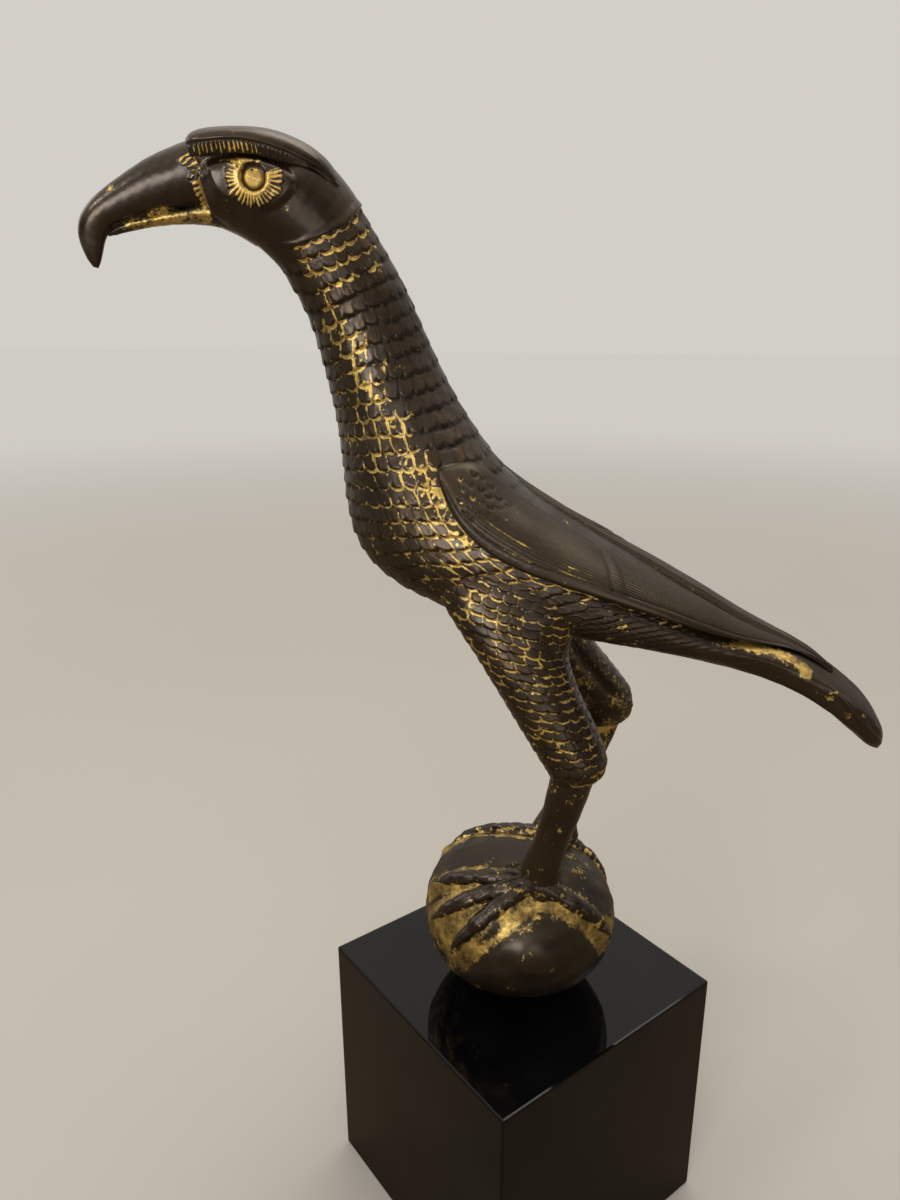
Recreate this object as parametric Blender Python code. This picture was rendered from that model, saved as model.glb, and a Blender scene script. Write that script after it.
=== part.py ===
"""A bronze falcon standing on a stone, cast in one, on a square block plinth.

Metres, +Z up. The origin is the middle of the plinth's underside. The bird looks
along -X, with its head turned a little towards -Y.
"""

import math

import bmesh
import bpy
import numpy as np

# Driving sizes of the plinth, in metres and radians.
PLINTH_SIDE = 0.100
PLINTH_HEIGHT = 0.100
PLINTH_EDGE = 0.0008
PLINTH_TURN = math.radians(50)

# The cast seats on the plinth with this clearance.
SEAT_GAP = 0.0003

# Height of the cast from the stone's underside to the crown. Pose and carving are
# shares of it: one figure unit is a millimetre on a bird 286.4 mm high.
BIRD_HEIGHT = 0.2864
HEIGHT_IN_UNITS = 286.4
UNIT = BIRD_HEIGHT / HEIGHT_IN_UNITS

# The neck turns the head towards the bird's left between two heights.
HEAD_TURN = math.radians(22)
TURN_FROM = 175.0
TURN_TO = 250.0
TURN_AXIS = 45.0

# Stations of the whole bird from beak tip to tail tip, in figure units:
# forward and height of the under side, forward and height of the upper side,
# half width, and squareness of the section (2 is an ellipse).
BEAK = (
    (129.2, 248.8, 130.6, 249.2, 0.8, 2.0),
    (127.9, 251.2, 132.7, 252.6, 1.8, 2.0),
    (126.8, 254.6, 133.7, 257.4, 2.5, 2.0),
    (125.4, 258.2, 133.1, 262.2, 3.1, 2.0),
    (121.6, 260.2, 128.9, 267.4, 3.9, 2.0),
    (116.6, 261.4, 122.2, 272.2, 4.8, 2.0),
    (110.0, 262.7, 114.7, 277.0, 5.8, 2.0),
    (103.0, 263.9, 107.0, 280.7, 6.8, 2.0),
    (96.8, 264.4, 100.6, 283.0, 7.9, 2.1),
)
HEAD = (
    (95.6, 261.6, 99.6, 283.0, 9.2, 2.2),
    (92.0, 259.8, 91.0, 285.2, 11.4, 2.3),
    (88.0, 258.0, 78.0, 285.2, 12.6, 2.3),
    (83.6, 255.3, 67.0, 281.6, 12.9, 2.2),
    (79.2, 251.4, 58.4, 274.0, 12.3, 2.1),
)
BODY = (
    (75.6, 247.0, 52.9, 266.2, 11.8, 2.0),
    (71.7, 240.0, 47.2, 256.2, 11.6, 2.0),
    (68.0, 231.5, 40.8, 245.4, 12.1, 2.0),
    (65.2, 219.5, 34.1, 230.4, 13.6, 2.0),
    (62.4, 206.0, 26.2, 213.4, 16.4, 2.0),
    (60.6, 193.0, 16.8, 198.8, 19.8, 2.1),
    (59.4, 181.0, 5.6, 185.0, 22.8, 2.2),
    (57.6, 170.8, -5.2, 177.4, 24.8, 2.3),
    (53.2, 161.4, -15.0, 172.0, 25.6, 2.4),
    (44.6, 153.4, -24.0, 166.8, 25.4, 2.4),
    (31.2, 146.8, -33.6, 161.8, 24.6, 2.4),
    (14.0, 141.6, -43.6, 156.0, 23.4, 2.3),
    (-6.0, 138.8, -55.6, 149.6, 21.6, 2.3),
    (-27.0, 137.2, -67.4, 143.2, 19.2, 2.4),
    (-47.0, 134.6, -78.4, 137.6, 17.0, 2.6),
)
TAIL = (
    (-64.0, 131.6, -86.0, 134.0, 14.6, 2.9),
    (-79.4, 127.7, -92.4, 130.7, 14.4, 3.0),
    (-91.7, 121.7, -98.9, 126.9, 13.8, 3.4),
    (-100.6, 114.9, -105.9, 121.6, 13.0, 3.4),
    (-106.5, 109.7, -110.6, 116.6, 11.0, 3.0),
    (-110.7, 106.4, -112.9, 111.6, 7.8, 2.6),
    (-112.6, 105.7, -113.2, 108.1, 3.4, 2.2),
)
RING_POINTS = 20
HEAD_RINGS = 10
HOOD_PROUD = 0.3
COLLAR_GAP = 0.4

# The feathers overlap in rows, each row's lower edge standing proud.
BODY_ROWS = 25
ROW_STEP = 0.7
BELLY_RINGS = 6
BELLY_STATIONS = 3
TAIL_RINGS = 10

# The cap stands proud of the head, with a brow edge over the eyes.
CAP_STATIONS = (
    (100.2, 281.2, 100.0, 284.0, 8.6),
    (96.0, 280.6, 95.0, 285.8, 11.4),
    (89.0, 281.4, 85.0, 286.4, 13.0),
    (80.5, 280.4, 74.5, 285.3, 13.2),
    (71.5, 276.6, 64.3, 280.6, 12.6),
    (62.6, 269.8, 57.0, 272.6, 10.6),
)
CAP_POINTS = 9
CAP_ARCH = 0.8
CAP_NARROW = 0.7
CAP_DEPTH = 5.0
BROW_DEPTH = 1.6

# The lower beak, closed under the hooked one.
LOWER_BEAK = (
    (124.6, 257.6, 124.8, 259.4, 1.3, 2.0),
    (116.0, 259.7, 116.4, 263.0, 3.0, 2.0),
    (106.0, 260.7, 106.4, 265.6, 4.4, 2.0),
    (97.0, 260.6, 97.4, 267.0, 5.8, 2.0),
    (90.0, 258.9, 90.4, 267.0, 6.8, 2.0),
)
LOWER_BEAK_POINTS = 12

# Each eye is a round button: radius and height of its profile.
EYE_CENTRE = (82.9, 11.6, 272.2)
EYE_PROFILE = ((2.6, 1.7), (3.3, 1.1), (3.8, 1.1), (4.4, 1.6), (4.9, 0.6), (5.1, -2.0))
EYE_SIDES = 12

# Lower edge and upper ridge of the folded wing: forward, out from the middle, height.
WING_LOWER = (
    (26.4, 19.4, 191.0),
    (23.0, 23.2, 183.2),
    (17.2, 25.8, 175.2),
    (8.0, 27.2, 167.6),
    (-4.6, 27.8, 162.2),
    (-19.6, 27.4, 157.8),
    (-33.0, 25.8, 153.8),
    (-50.0, 22.6, 148.0),
    (-63.4, 18.0, 143.3),
    (-77.2, 9.4, 139.4),
    (-86.8, 5.8, 136.2),
    (-96.6, 2.4, 129.8),
)
WING_UPPER = (
    (27.2, 17.6, 192.0),
    (23.4, 16.0, 192.8),
    (15.6, 12.4, 190.8),
    (5.6, 9.0, 184.4),
    (-8.2, 7.4, 176.2),
    (-22.0, 6.8, 168.6),
    (-36.0, 6.2, 161.6),
    (-54.0, 5.4, 152.4),
    (-68.0, 4.0, 144.6),
    (-80.0, 2.6, 139.6),
    (-88.0, 1.4, 136.0),
    (-96.8, 0.8, 129.8),
)
WING_RINGS = 14
WING_POINTS = 11
WING_SQUARENESS = 2.3
WING_DEPTH = 8.0
DEPTH_SHARES = ((0.0, 0.12, 0.75, 1.0), (0.12, 1.0, 1.0, 0.15))
EDGE_INWARD = ((0.0, -1.0, 0.1), (0.0, -0.7, -0.7))
RIDGE_INWARD = (0.0, -0.5, -1.0)
TIP_SHARES = (0.55, 0.85)
WING_GAP = 0.3
FEATHER_STEP = 0.5
COVERT_STEP = 0.7
COVERT_SHARE = 0.46
STEP_SLANT = 0.7

# One thigh from hip to trouser edge: forward and height of its front, forward and
# height of its back, distance out from the middle, and half width.
THIGH = (
    (24.0, 168.0, -22.0, 150.0, 14.0, 11.0),
    (27.8, 160.2, -20.4, 146.0, 15.0, 12.2),
    (25.8, 152.4, -17.4, 141.4, 16.0, 13.0),
    (20.0, 144.0, -15.6, 136.2, 17.6, 12.8),
    (13.2, 135.0, -16.8, 129.8, 19.2, 12.2),
    (6.4, 125.0, -20.0, 122.2, 20.4, 11.6),
    (0.2, 115.0, -24.2, 114.4, 21.2, 11.0),
    (-6.0, 105.4, -28.0, 106.8, 21.8, 10.4),
    (-10.6, 98.2, -29.8, 101.0, 22.2, 9.8),
    (-12.6, 94.9, -28.8, 96.8, 22.4, 8.6),
    (-14.4, 93.6, -25.6, 94.6, 22.6, 6.2),
)
THIGH_ROWS = 14
THIGH_POINTS = 14
THIGH_STEP = 0.55
THIGH_SQUARENESS = 2.2
FAR_THIGH_BACK = 7.0
FAR_FOOT_BACK = 2.0
STRIDE_TOP = 132.0
STRIDE_KNEE = 108.0
STRIDE_FOOT = 50.0

# One shank: forward, out from the middle, height, half depth, half width.
SHANK = (
    (-20.2, 22.4, 101.0, 7.0, 5.6),
    (-18.8, 22.0, 92.0, 7.0, 5.6),
    (-15.8, 20.8, 79.0, 6.2, 5.0),
    (-12.2, 19.4, 66.0, 6.0, 4.9),
    (-9.2, 18.4, 56.0, 6.6, 5.4),
    (-7.6, 17.6, 44.0, 8.6, 7.0),
)
SHANK_POINTS = 12

# The stone under the feet: middle, half sizes and the lumps on it, each lump with
# the direction it faces, its height and its spread.
STONE_MIDDLE = (-0.3, -3.4, 27.2)
STONE_HALF = (33.8, 34.0, 28.4)
STONE_LUMPS = (
    ((-0.3, -0.9, 0.2), 1.4, 0.5),
    ((-0.97, 0.2, 0.1), 1.0, 0.5),
    ((0.8, 0.2, 0.5), 1.8, 0.4),
    ((-0.1, -0.75, -0.6), -1.6, 0.4),
    ((-0.1, 0.8, 0.5), -1.4, 0.6),
    ((0.0, 0.3, 0.9), -3.2, 0.5),
)
STONE_COLUMNS = 24
STONE_ROWS = 12
STONE_POLE = 0.06

# Toes of the left and the right foot: forward, right of the middle line and height
# of each claw tip. Three point forward on each foot and one back.
FOOT_STARTS = ((-6.4, -19.0), (-8.6, 16.0))
TOE_TIPS = (
    ((18.6, -31.2, 28.0), (27.6, -22.0, 31.6), (28.4, -12.6, 39.0), (-33.4, -14.0, 29.4)),
    ((27.6, 4.4, 42.0), (24.0, 18.0, 38.0), (12.0, 29.0, 30.0), (-33.0, 13.0, 30.0)),
)
TOE_RADII = (4.4, 3.1, 3.6, 2.7, 3.1, 2.3, 1.4, 0.4)
TOE_LIFT = 0.3
TOE_PROUD = 0.5
FOOT_DROP = 5.0
TOE_POINTS = 6
FULL_TURN = 2 * math.pi
SHARP_EDGE = math.radians(28)
SMOOTHING = 40


def clear_scene():
    """Remove what the file holds, so that the model stands alone."""
    for thing in list(bpy.data.objects):
        bpy.data.objects.remove(thing, do_unlink=True)


def material(name, colour, roughness, metallic):
    """A plain finish for one sub-part."""
    finish = bpy.data.materials.new(name)
    finish.use_nodes = True
    shader = finish.node_tree.nodes["Principled BSDF"]
    shader.inputs["Base Color"].default_value = (*colour, 1.0)
    shader.inputs["Roughness"].default_value = roughness
    shader.inputs["Metallic"].default_value = metallic
    finish.diffuse_color = (*colour, 1.0)
    return finish


def place(figure):
    """Turn the head on a smooth ramp of height, then seat the figure on the plinth."""
    figure = np.asarray(figure, float)
    ramp = np.clip((figure[..., 2] - TURN_FROM) / (TURN_TO - TURN_FROM), 0.0, 1.0)
    angle = HEAD_TURN * ramp * ramp * (3.0 - 2.0 * ramp)
    x = TURN_AXIS - figure[..., 0]
    y = figure[..., 1]
    turned = np.stack([
        x * np.cos(angle) - y * np.sin(angle) - TURN_AXIS,
        x * np.sin(angle) + y * np.cos(angle),
        figure[..., 2],
    ], axis=-1)
    return turned * UNIT + np.array([0.0, 0.0, PLINTH_HEIGHT + SEAT_GAP])


def through(table, at):
    """A smooth curve through the table's rows, read at the row numbers given in at."""
    rows = np.asarray(table, float)
    slopes = np.gradient(rows, axis=0)
    at = np.asarray(at, float)
    low = np.clip(at.astype(int), 0, len(rows) - 2)
    t = (at - low)[:, None]
    start = (2 * t**3 - 3 * t**2 + 1) * rows[low]
    leave = (t**3 - 2 * t**2 + t) * slopes[low]
    end = (3 * t**2 - 2 * t**3) * rows[low + 1]
    arrive = (t**3 - t**2) * slopes[low + 1]
    return start + leave + end + arrive


def signed_power(value, power):
    """Raise the size of a number to a power and keep its sign."""
    return np.sign(value) * np.abs(value) ** power


def section_rings(stations, points, relief):
    """Superellipse rings across the chords between the under and the upper side."""
    angles = np.arange(points) * FULL_TURN / points
    under = stations[:, None, 0:2]
    upper = stations[:, None, 2:4]
    power = 2.0 / stations[:, None, 5]
    along = signed_power(np.cos(angles)[None, :], power)
    across = signed_power(np.sin(angles)[None, :], power)
    half = (under - upper) / 2
    length = np.linalg.norm(half, axis=-1, keepdims=True)
    relief = np.asarray(relief, float)[:, None]
    chord = (under + upper) / 2 + half * (1 + relief[..., None] / length) * along[..., None]
    side = (stations[:, None, 4] + relief) * across
    return np.stack([chord[..., 0], side, chord[..., 1]], axis=-1)


def even_steps(table, first, last, count):
    """Row numbers between first and last that are evenly spaced along the middle line."""
    fine = np.linspace(first, last, SMOOTHING * count)
    read = through(table, fine)
    middle = (read[:, 0:2] + read[:, 2:4]) / 2
    run = np.concatenate([[0.0], np.cumsum(np.linalg.norm(np.diff(middle, axis=0), axis=1))])
    return np.interp(np.linspace(0.0, run[-1], count), run, fine)


def stepped_rows(table, first, last, rows, step, points):
    """Rings for overlapping rows: each row starts sunk and ends proud of the next."""
    edges = even_steps(table, first, last, rows + 1)
    at = np.stack([edges[:-1], edges[1:]], axis=1).ravel()
    relief = np.tile([-step / 2, step / 2], rows)
    return section_rings(through(table, at), points, relief)


def loft(name, rings):
    """One closed body from rings of points, with a fan over each end."""
    count, points = rings.shape[:2]
    ends = np.stack([rings[0].mean(axis=0), rings[-1].mean(axis=0)])
    vertices = np.concatenate([rings.reshape(-1, 3), ends])
    column = np.arange(points)
    following = (column + 1) % points
    first_end = np.full(points, count * points)
    last_ring = (count - 1) * points
    faces = []
    for row in range(count - 1):
        here = row * points
        there = here + points
        faces += np.stack([here + column, here + following, there + following, there + column], 1).tolist()
    faces += np.stack([following, column, first_end], 1).tolist()
    faces += np.stack([last_ring + column, last_ring + following, first_end + 1], 1).tolist()
    mesh = bpy.data.meshes.new(name)
    mesh.from_pydata(vertices.tolist(), [], faces)
    shape = bmesh.new()
    shape.from_mesh(mesh)
    bmesh.ops.triangulate(shape, faces=[face for face in shape.faces if len(face.verts) > 3])
    bmesh.ops.recalc_face_normals(shape, faces=shape.faces)
    shape.to_mesh(mesh)
    shape.free()
    mesh.shade_smooth()
    mesh.set_sharp_from_angle(angle=SHARP_EDGE)
    body = bpy.data.objects.new(name, mesh)
    bpy.context.scene.collection.objects.link(body)
    return body


def bird_rings():
    """Beak, head, feathered neck and breast, belly and tail as one run of rings."""
    table = np.array(BEAK + HEAD + BODY + TAIL, float)
    beak_end = len(BEAK) - 1
    collar = len(BEAK) + len(HEAD)
    belly = collar + len(BODY) - BELLY_STATIONS
    tail = collar + len(BODY) - 1
    last = len(table) - 1
    beak = through(table, np.arange(beak_end + 1))
    head = through(table, np.linspace(beak_end + 1, collar - COLLAR_GAP, HEAD_RINGS))
    under = through(table, np.linspace(belly, tail, BELLY_RINGS)[1:])
    end = through(table, np.linspace(tail, last, TAIL_RINGS)[1:])
    return np.concatenate([
        section_rings(beak, RING_POINTS, np.zeros(len(beak))),
        section_rings(head, RING_POINTS, np.full(len(head), HOOD_PROUD)),
        stepped_rows(table, collar, belly, BODY_ROWS, ROW_STEP, RING_POINTS),
        section_rings(under, RING_POINTS, np.zeros(len(under))),
        section_rings(end, RING_POINTS, np.zeros(len(end))),
    ])


def cap_rings():
    """The smooth cap: an arch from brow edge to brow edge, closed under the skull."""
    at = np.linspace(0, len(CAP_STATIONS) - 1, 2 * len(CAP_STATIONS) - 1)
    brow_x, brow_z, crown_x, crown_z, half = (c[:, None] for c in through(CAP_STATIONS, at).T)
    arch = np.linspace(-math.pi / 2, math.pi / 2, CAP_POINTS)[None, :]
    rise = np.cos(arch) ** CAP_ARCH
    top = np.stack([
        brow_x + (crown_x - brow_x) * rise,
        half * np.sin(arch),
        brow_z + (crown_z - brow_z) * rise,
    ], axis=-1)
    inside = top[:, ::-1] * np.array([1.0, CAP_NARROW, 1.0]) - np.array([0.0, 0.0, CAP_DEPTH])
    inside[:, [0, -1], 2] += CAP_DEPTH - BROW_DEPTH
    return np.concatenate([top, inside], axis=1)


def eye_rings():
    """A round button with a groove, facing out from the side of the head."""
    turn = np.arange(EYE_SIDES) * FULL_TURN / EYE_SIDES
    radius, height = np.array(EYE_PROFILE).T[:, :, None]
    return np.stack([
        EYE_CENTRE[0] + radius * np.cos(turn),
        EYE_CENTRE[1] + height + 0 * turn,
        EYE_CENTRE[2] + radius * np.sin(turn),
    ], axis=-1)


def wing_rings():
    """A folded wing: an arched outer face with lengthwise feather steps, closed inside."""
    share = np.linspace(0.0, 1.0, WING_RINGS)
    at = share * (len(WING_LOWER) - 1)
    lower = through(WING_LOWER, at)[:, None, :]
    upper = through(WING_UPPER, at)[:, None, :]
    sweep = np.linspace(0.0, math.pi / 2, WING_POINTS)[None, :]
    out = np.sin(sweep) ** (2 / WING_SQUARENESS)
    rise = np.cos(sweep) ** (2 / WING_SQUARENESS)
    fade = np.sqrt(np.sin(math.pi * share)).clip(COVERT_SHARE)
    step = FEATHER_STEP * fade[:, None] * (np.arange(WING_POINTS) % 2)
    step = STEP_SLANT * (step + COVERT_STEP * (share < COVERT_SHARE)[:, None])
    outer = np.stack([
        lower[..., 0] + (upper[..., 0] - lower[..., 0]) * rise,
        upper[..., 1] + (lower[..., 1] - upper[..., 1] + step) * out,
        lower[..., 2] + (upper[..., 2] - lower[..., 2] + step) * rise,
    ], axis=-1)
    depth = WING_DEPTH * np.interp(share, *DEPTH_SHARES)[:, None]
    tip = np.interp(share, TIP_SHARES, (0.0, 1.0))[:, None]
    inward = (1 - tip) * np.array(EDGE_INWARD[0]) + tip * np.array(EDGE_INWARD[1])
    edge_in = outer[:, -1] + depth * inward
    ridge_in = outer[:, 0] + depth * np.array(RIDGE_INWARD)
    inside = np.stack([edge_in, (edge_in + ridge_in) / 2, ridge_in], axis=1)
    inside[..., 1] = np.maximum(inside[..., 1], WING_GAP)
    return np.concatenate([outer, inside], axis=1)


def thigh_rings():
    """A feathered thigh in overlapping rows, down to the trouser edge over the shank."""
    table = np.array([(*row, THIGH_SQUARENESS) for row in THIGH], float)
    sections = table[:, [0, 1, 2, 3, 5, 6]]
    last = len(table) - 1
    edges = even_steps(sections, 1.0, last - 1.0, THIGH_ROWS + 1)
    at = np.stack([edges[:-1], edges[1:]], axis=1).ravel()
    at = np.concatenate([[0.0], at, [last]])
    teeth = np.tile([-THIGH_STEP / 2, THIGH_STEP / 2], THIGH_ROWS)
    relief = np.concatenate([[0.0], teeth, [0.0]])
    rings = section_rings(through(sections, at), THIGH_POINTS, relief)
    rings[..., 1] += through(table, at)[:, None, 4]
    return rings


def oval_rings(table, points):
    """Upright ovals along a limb: forward, out, height, half depth and half width."""
    rows = np.asarray(table, float)[:, None, :]
    turn = (np.arange(points) * FULL_TURN / points)[None, :]
    return np.stack([
        rows[..., 0] + rows[..., 3] * np.cos(turn),
        rows[..., 1] + rows[..., 4] * np.sin(turn),
        rows[..., 2] + 0 * turn,
    ], axis=-1)


def stone_reach(direction):
    """How far the stone reaches from its middle along each unit direction."""
    base = 1.0 / np.linalg.norm(direction / np.array(STONE_HALF), axis=-1)
    for facing, height, spread in STONE_LUMPS:
        facing = np.array(facing) / np.linalg.norm(facing)
        away = 1.0 - direction @ facing
        base = base + height * np.exp(-away / (spread * spread))
    return base


def stone_rings():
    """The stone, turned as a globe of directions and cut flat where it stands."""
    tilt = np.linspace(STONE_POLE, math.pi - STONE_POLE, STONE_ROWS)[:, None]
    turn = (np.arange(STONE_COLUMNS) * FULL_TURN / STONE_COLUMNS)[None, :]
    direction = np.stack([
        np.sin(tilt) * np.cos(turn),
        np.sin(tilt) * np.sin(turn),
        np.cos(tilt) + 0 * turn,
    ], axis=-1)
    rings = np.array(STONE_MIDDLE) + direction * stone_reach(direction)[..., None]
    rings[..., 2] = np.maximum(rings[..., 2], 0.0)
    return rings


def on_stone(point):
    """The unit direction from the stone's middle to a point."""
    away = np.asarray(point, float) - np.array(STONE_MIDDLE)
    return away / np.linalg.norm(away, axis=-1, keepdims=True)


def toe_rings(foot, tip):
    """A toe and its claw: a tube that follows the stone from the foot to the tip."""
    start = on_stone((*foot, 2 * STONE_MIDDLE[2] - FOOT_DROP))
    finish = on_stone(tip)
    share = np.linspace(0.0, 1.0, len(TOE_RADII))[:, None]
    angle = math.acos(float(np.clip(start @ finish, -1.0, 1.0)))
    path = (np.sin((1 - share) * angle) * start + np.sin(share * angle) * finish) / math.sin(angle)
    radius = np.array(TOE_RADII)[:, None]
    reach = stone_reach(path)[:, None] + TOE_LIFT + TOE_PROUD * radius
    middle = np.array(STONE_MIDDLE) + path * reach
    ahead = np.gradient(middle, axis=0)
    ahead /= np.linalg.norm(ahead, axis=1, keepdims=True)
    across = np.cross(ahead, path)
    across /= np.linalg.norm(across, axis=1, keepdims=True)
    upward = np.cross(across, ahead)
    turn = (np.arange(TOE_POINTS) * FULL_TURN / TOE_POINTS)[None, :, None]
    around = np.cos(turn) * across[:, None] + np.sin(turn) * upward[:, None]
    return middle[:, None] + radius[:, None] * around


def stride(figure):
    """Set the far leg back: nothing at the hip, most at the knee, little at the foot."""
    back = np.interp(-figure[..., 2], (-STRIDE_TOP, -STRIDE_KNEE, -STRIDE_FOOT),
                     (0.0, FAR_THIGH_BACK, FAR_FOOT_BACK))
    return figure - back[..., None] * np.array([1.0, 0.0, 0.0])


def join(main, pieces):
    """Union the pieces into the main body, one exact Boolean each."""
    for piece in pieces:
        piece.hide_render = True
        piece.display_type = "WIRE"
        union = main.modifiers.new("join " + piece.name, "BOOLEAN")
        union.operation = "UNION"
        union.solver = "EXACT"
        union.object = piece


def build_falcon():
    """The whole cast: bird, stone and claws in one body of bronze."""
    falcon = loft("falcon", place(bird_rings()))
    falcon.data.materials.append(material("bronze", (0.085, 0.058, 0.036), 0.34, 0.9))
    pieces = [loft("stone", place(stone_rings()))]
    for number, tag in enumerate(("left", "right")):
        far = number == 1
        flip = np.array([1.0, 1.0 if far else -1.0, 1.0])
        thigh = thigh_rings()
        shank = oval_rings(SHANK, SHANK_POINTS)
        if far:
            thigh = stride(thigh)
            shank = stride(shank)
        pieces.append(loft("thigh_" + tag, place(thigh * flip)))
        pieces.append(loft("shank_" + tag, place(shank * flip)))
        for toe, tip in enumerate(TOE_TIPS[number]):
            pieces.append(loft(f"toe_{tag}_{toe}", place(toe_rings(FOOT_STARTS[number], tip))))
        pieces.append(loft("wing_" + tag, place(wing_rings() * flip)))
        pieces.append(loft("eye_" + tag, place(eye_rings() * flip)))
    pieces.append(loft("cap", place(cap_rings())))
    lower = section_rings(np.array(LOWER_BEAK), LOWER_BEAK_POINTS, np.zeros(len(LOWER_BEAK)))
    pieces.append(loft("lower_beak", place(lower)))
    join(falcon, pieces)
    return falcon


def build_plinth():
    """The square block, its edges eased, turned under the bird."""
    mesh = bpy.data.meshes.new("plinth")
    shape = bmesh.new()
    bmesh.ops.create_cube(shape, size=1.0)
    bmesh.ops.scale(shape, vec=(PLINTH_SIDE, PLINTH_SIDE, PLINTH_HEIGHT), verts=shape.verts)
    bmesh.ops.translate(shape, vec=(0.0, 0.0, PLINTH_HEIGHT / 2), verts=shape.verts)
    bmesh.ops.bevel(shape, geom=shape.edges[:], offset=PLINTH_EDGE, segments=2,
                    profile=0.5, affect="EDGES")
    shape.to_mesh(mesh)
    shape.free()
    plinth = bpy.data.objects.new("plinth", mesh)
    plinth.rotation_euler.z = PLINTH_TURN
    plinth.data.materials.append(material("black_stone", (0.006, 0.006, 0.007), 0.06, 0.0))
    bpy.context.scene.collection.objects.link(plinth)
    return plinth


clear_scene()
build_falcon()
build_plinth()
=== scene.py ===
# %% [markdown]
# # A gilt bronze falcon on a stone, on a polished black block
#
# The real object is one bronze cast, dark with patina, with gold left in the grooves of its feathers, seated
# on a square block of polished black stone. It could be sculpted by hand with brushes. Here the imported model
# gives the place and the main form, and each skin over it is a surface of two parameters, sampled on a grid
# with numpy and with the chasing worked in as relief, because such a surface can be measured, changed and
# made again exactly.

# %% Load the frame
import math

import bpy
import numpy as np
from mathutils import Matrix


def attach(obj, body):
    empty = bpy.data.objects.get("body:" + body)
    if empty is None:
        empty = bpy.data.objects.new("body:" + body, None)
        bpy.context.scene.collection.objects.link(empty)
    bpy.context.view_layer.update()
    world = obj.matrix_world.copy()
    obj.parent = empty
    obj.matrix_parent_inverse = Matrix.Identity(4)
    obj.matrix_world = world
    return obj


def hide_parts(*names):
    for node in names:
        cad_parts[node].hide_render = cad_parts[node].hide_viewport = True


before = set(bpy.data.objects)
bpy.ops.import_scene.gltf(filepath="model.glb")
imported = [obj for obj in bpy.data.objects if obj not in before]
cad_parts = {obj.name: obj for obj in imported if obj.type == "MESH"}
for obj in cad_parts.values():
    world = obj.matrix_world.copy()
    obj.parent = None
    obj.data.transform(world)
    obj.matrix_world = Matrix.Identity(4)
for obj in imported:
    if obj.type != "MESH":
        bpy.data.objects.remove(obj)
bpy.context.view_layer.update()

# %% [markdown]
# ## Sizes
#
# Pose and carving are written in figure units: one unit is a millimetre, forward along the bird, out to its
# right, and up from the stone's underside. The neck turns the head towards the bird's left between two
# heights. The head could be turned as a piece of its own, but an angle that grows smoothly with height leaves
# no seam at the neck.

# %% Sizes and placing
UNIT = 0.001
SEAT = 0.1003
FULL_TURN = 2 * math.pi
HEAD_TURN = math.radians(22)
TURN_FROM, TURN_TO, TURN_AXIS = 175.0, 250.0, 45.0


def place(figure):
    """Turn by 22 degrees times the ramp 3r^2 - 2r^3 of height, scale to metres and lift onto the plinth."""
    ramp = np.clip((figure[..., 2] - TURN_FROM) / (TURN_TO - TURN_FROM), 0.0, 1.0)
    angle = HEAD_TURN * ramp * ramp * (3.0 - 2.0 * ramp)
    x = TURN_AXIS - figure[..., 0]
    y = figure[..., 1]
    return UNIT * np.stack([
        x * np.cos(angle) - y * np.sin(angle) - TURN_AXIS,
        x * np.sin(angle) + y * np.cos(angle),
        figure[..., 2],
    ], axis=-1) + np.array([0.0, 0.0, SEAT])


print(f"the head turns by {math.degrees(HEAD_TURN):.0f} degrees")
print(f"the stone's underside is {SEAT / UNIT:.1f} mm up")

# %% [markdown]
# ## Stations of the bird
#
# From beak tip to tail tip the bird is one loft. Each row gives forward and height of its under side, forward
# and height of its upper side, half width, and squareness. These are the rows of the solid, so the skins
# follow it. The parts could be separate shells, but rows of one loft keep the long curve of the back without
# a break.

# %% Stations
BEAK = (
    (129.2, 248.8, 130.6, 249.2, 0.8, 2.0),
    (127.9, 251.2, 132.7, 252.6, 1.8, 2.0),
    (126.8, 254.6, 133.7, 257.4, 2.5, 2.0),
    (125.4, 258.2, 133.1, 262.2, 3.1, 2.0),
    (121.6, 260.2, 128.9, 267.4, 3.9, 2.0),
    (116.6, 261.4, 122.2, 272.2, 4.8, 2.0),
    (110.0, 262.7, 114.7, 277.0, 5.8, 2.0),
    (103.0, 263.9, 107.0, 280.7, 6.8, 2.0),
    (96.8, 264.4, 100.6, 283.0, 7.9, 2.1),
)
HEAD = (
    (95.6, 261.6, 99.6, 283.0, 9.2, 2.2),
    (92.0, 259.8, 91.0, 285.2, 11.4, 2.3),
    (88.0, 258.0, 78.0, 285.2, 12.6, 2.3),
    (83.6, 255.3, 67.0, 281.6, 12.9, 2.2),
    (79.2, 251.4, 58.4, 274.0, 12.3, 2.1),
)
BODY = (
    (75.6, 247.0, 52.9, 266.2, 11.8, 2.0),
    (71.7, 240.0, 47.2, 256.2, 11.6, 2.0),
    (68.0, 231.5, 40.8, 245.4, 12.1, 2.0),
    (65.2, 219.5, 34.1, 230.4, 13.6, 2.0),
    (62.4, 206.0, 26.2, 213.4, 16.4, 2.0),
    (60.6, 193.0, 16.8, 198.8, 19.8, 2.1),
    (59.4, 181.0, 5.6, 185.0, 22.8, 2.2),
    (57.6, 170.8, -5.2, 177.4, 24.8, 2.3),
    (53.2, 161.4, -15.0, 172.0, 25.6, 2.4),
    (44.6, 153.4, -24.0, 166.8, 25.4, 2.4),
    (31.2, 146.8, -33.6, 161.8, 24.6, 2.4),
    (14.0, 141.6, -43.6, 156.0, 23.4, 2.3),
    (-6.0, 138.8, -55.6, 149.6, 21.6, 2.3),
    (-27.0, 137.2, -67.4, 143.2, 19.2, 2.4),
    (-47.0, 134.6, -78.4, 138.8, 17.0, 2.7),
)
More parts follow.
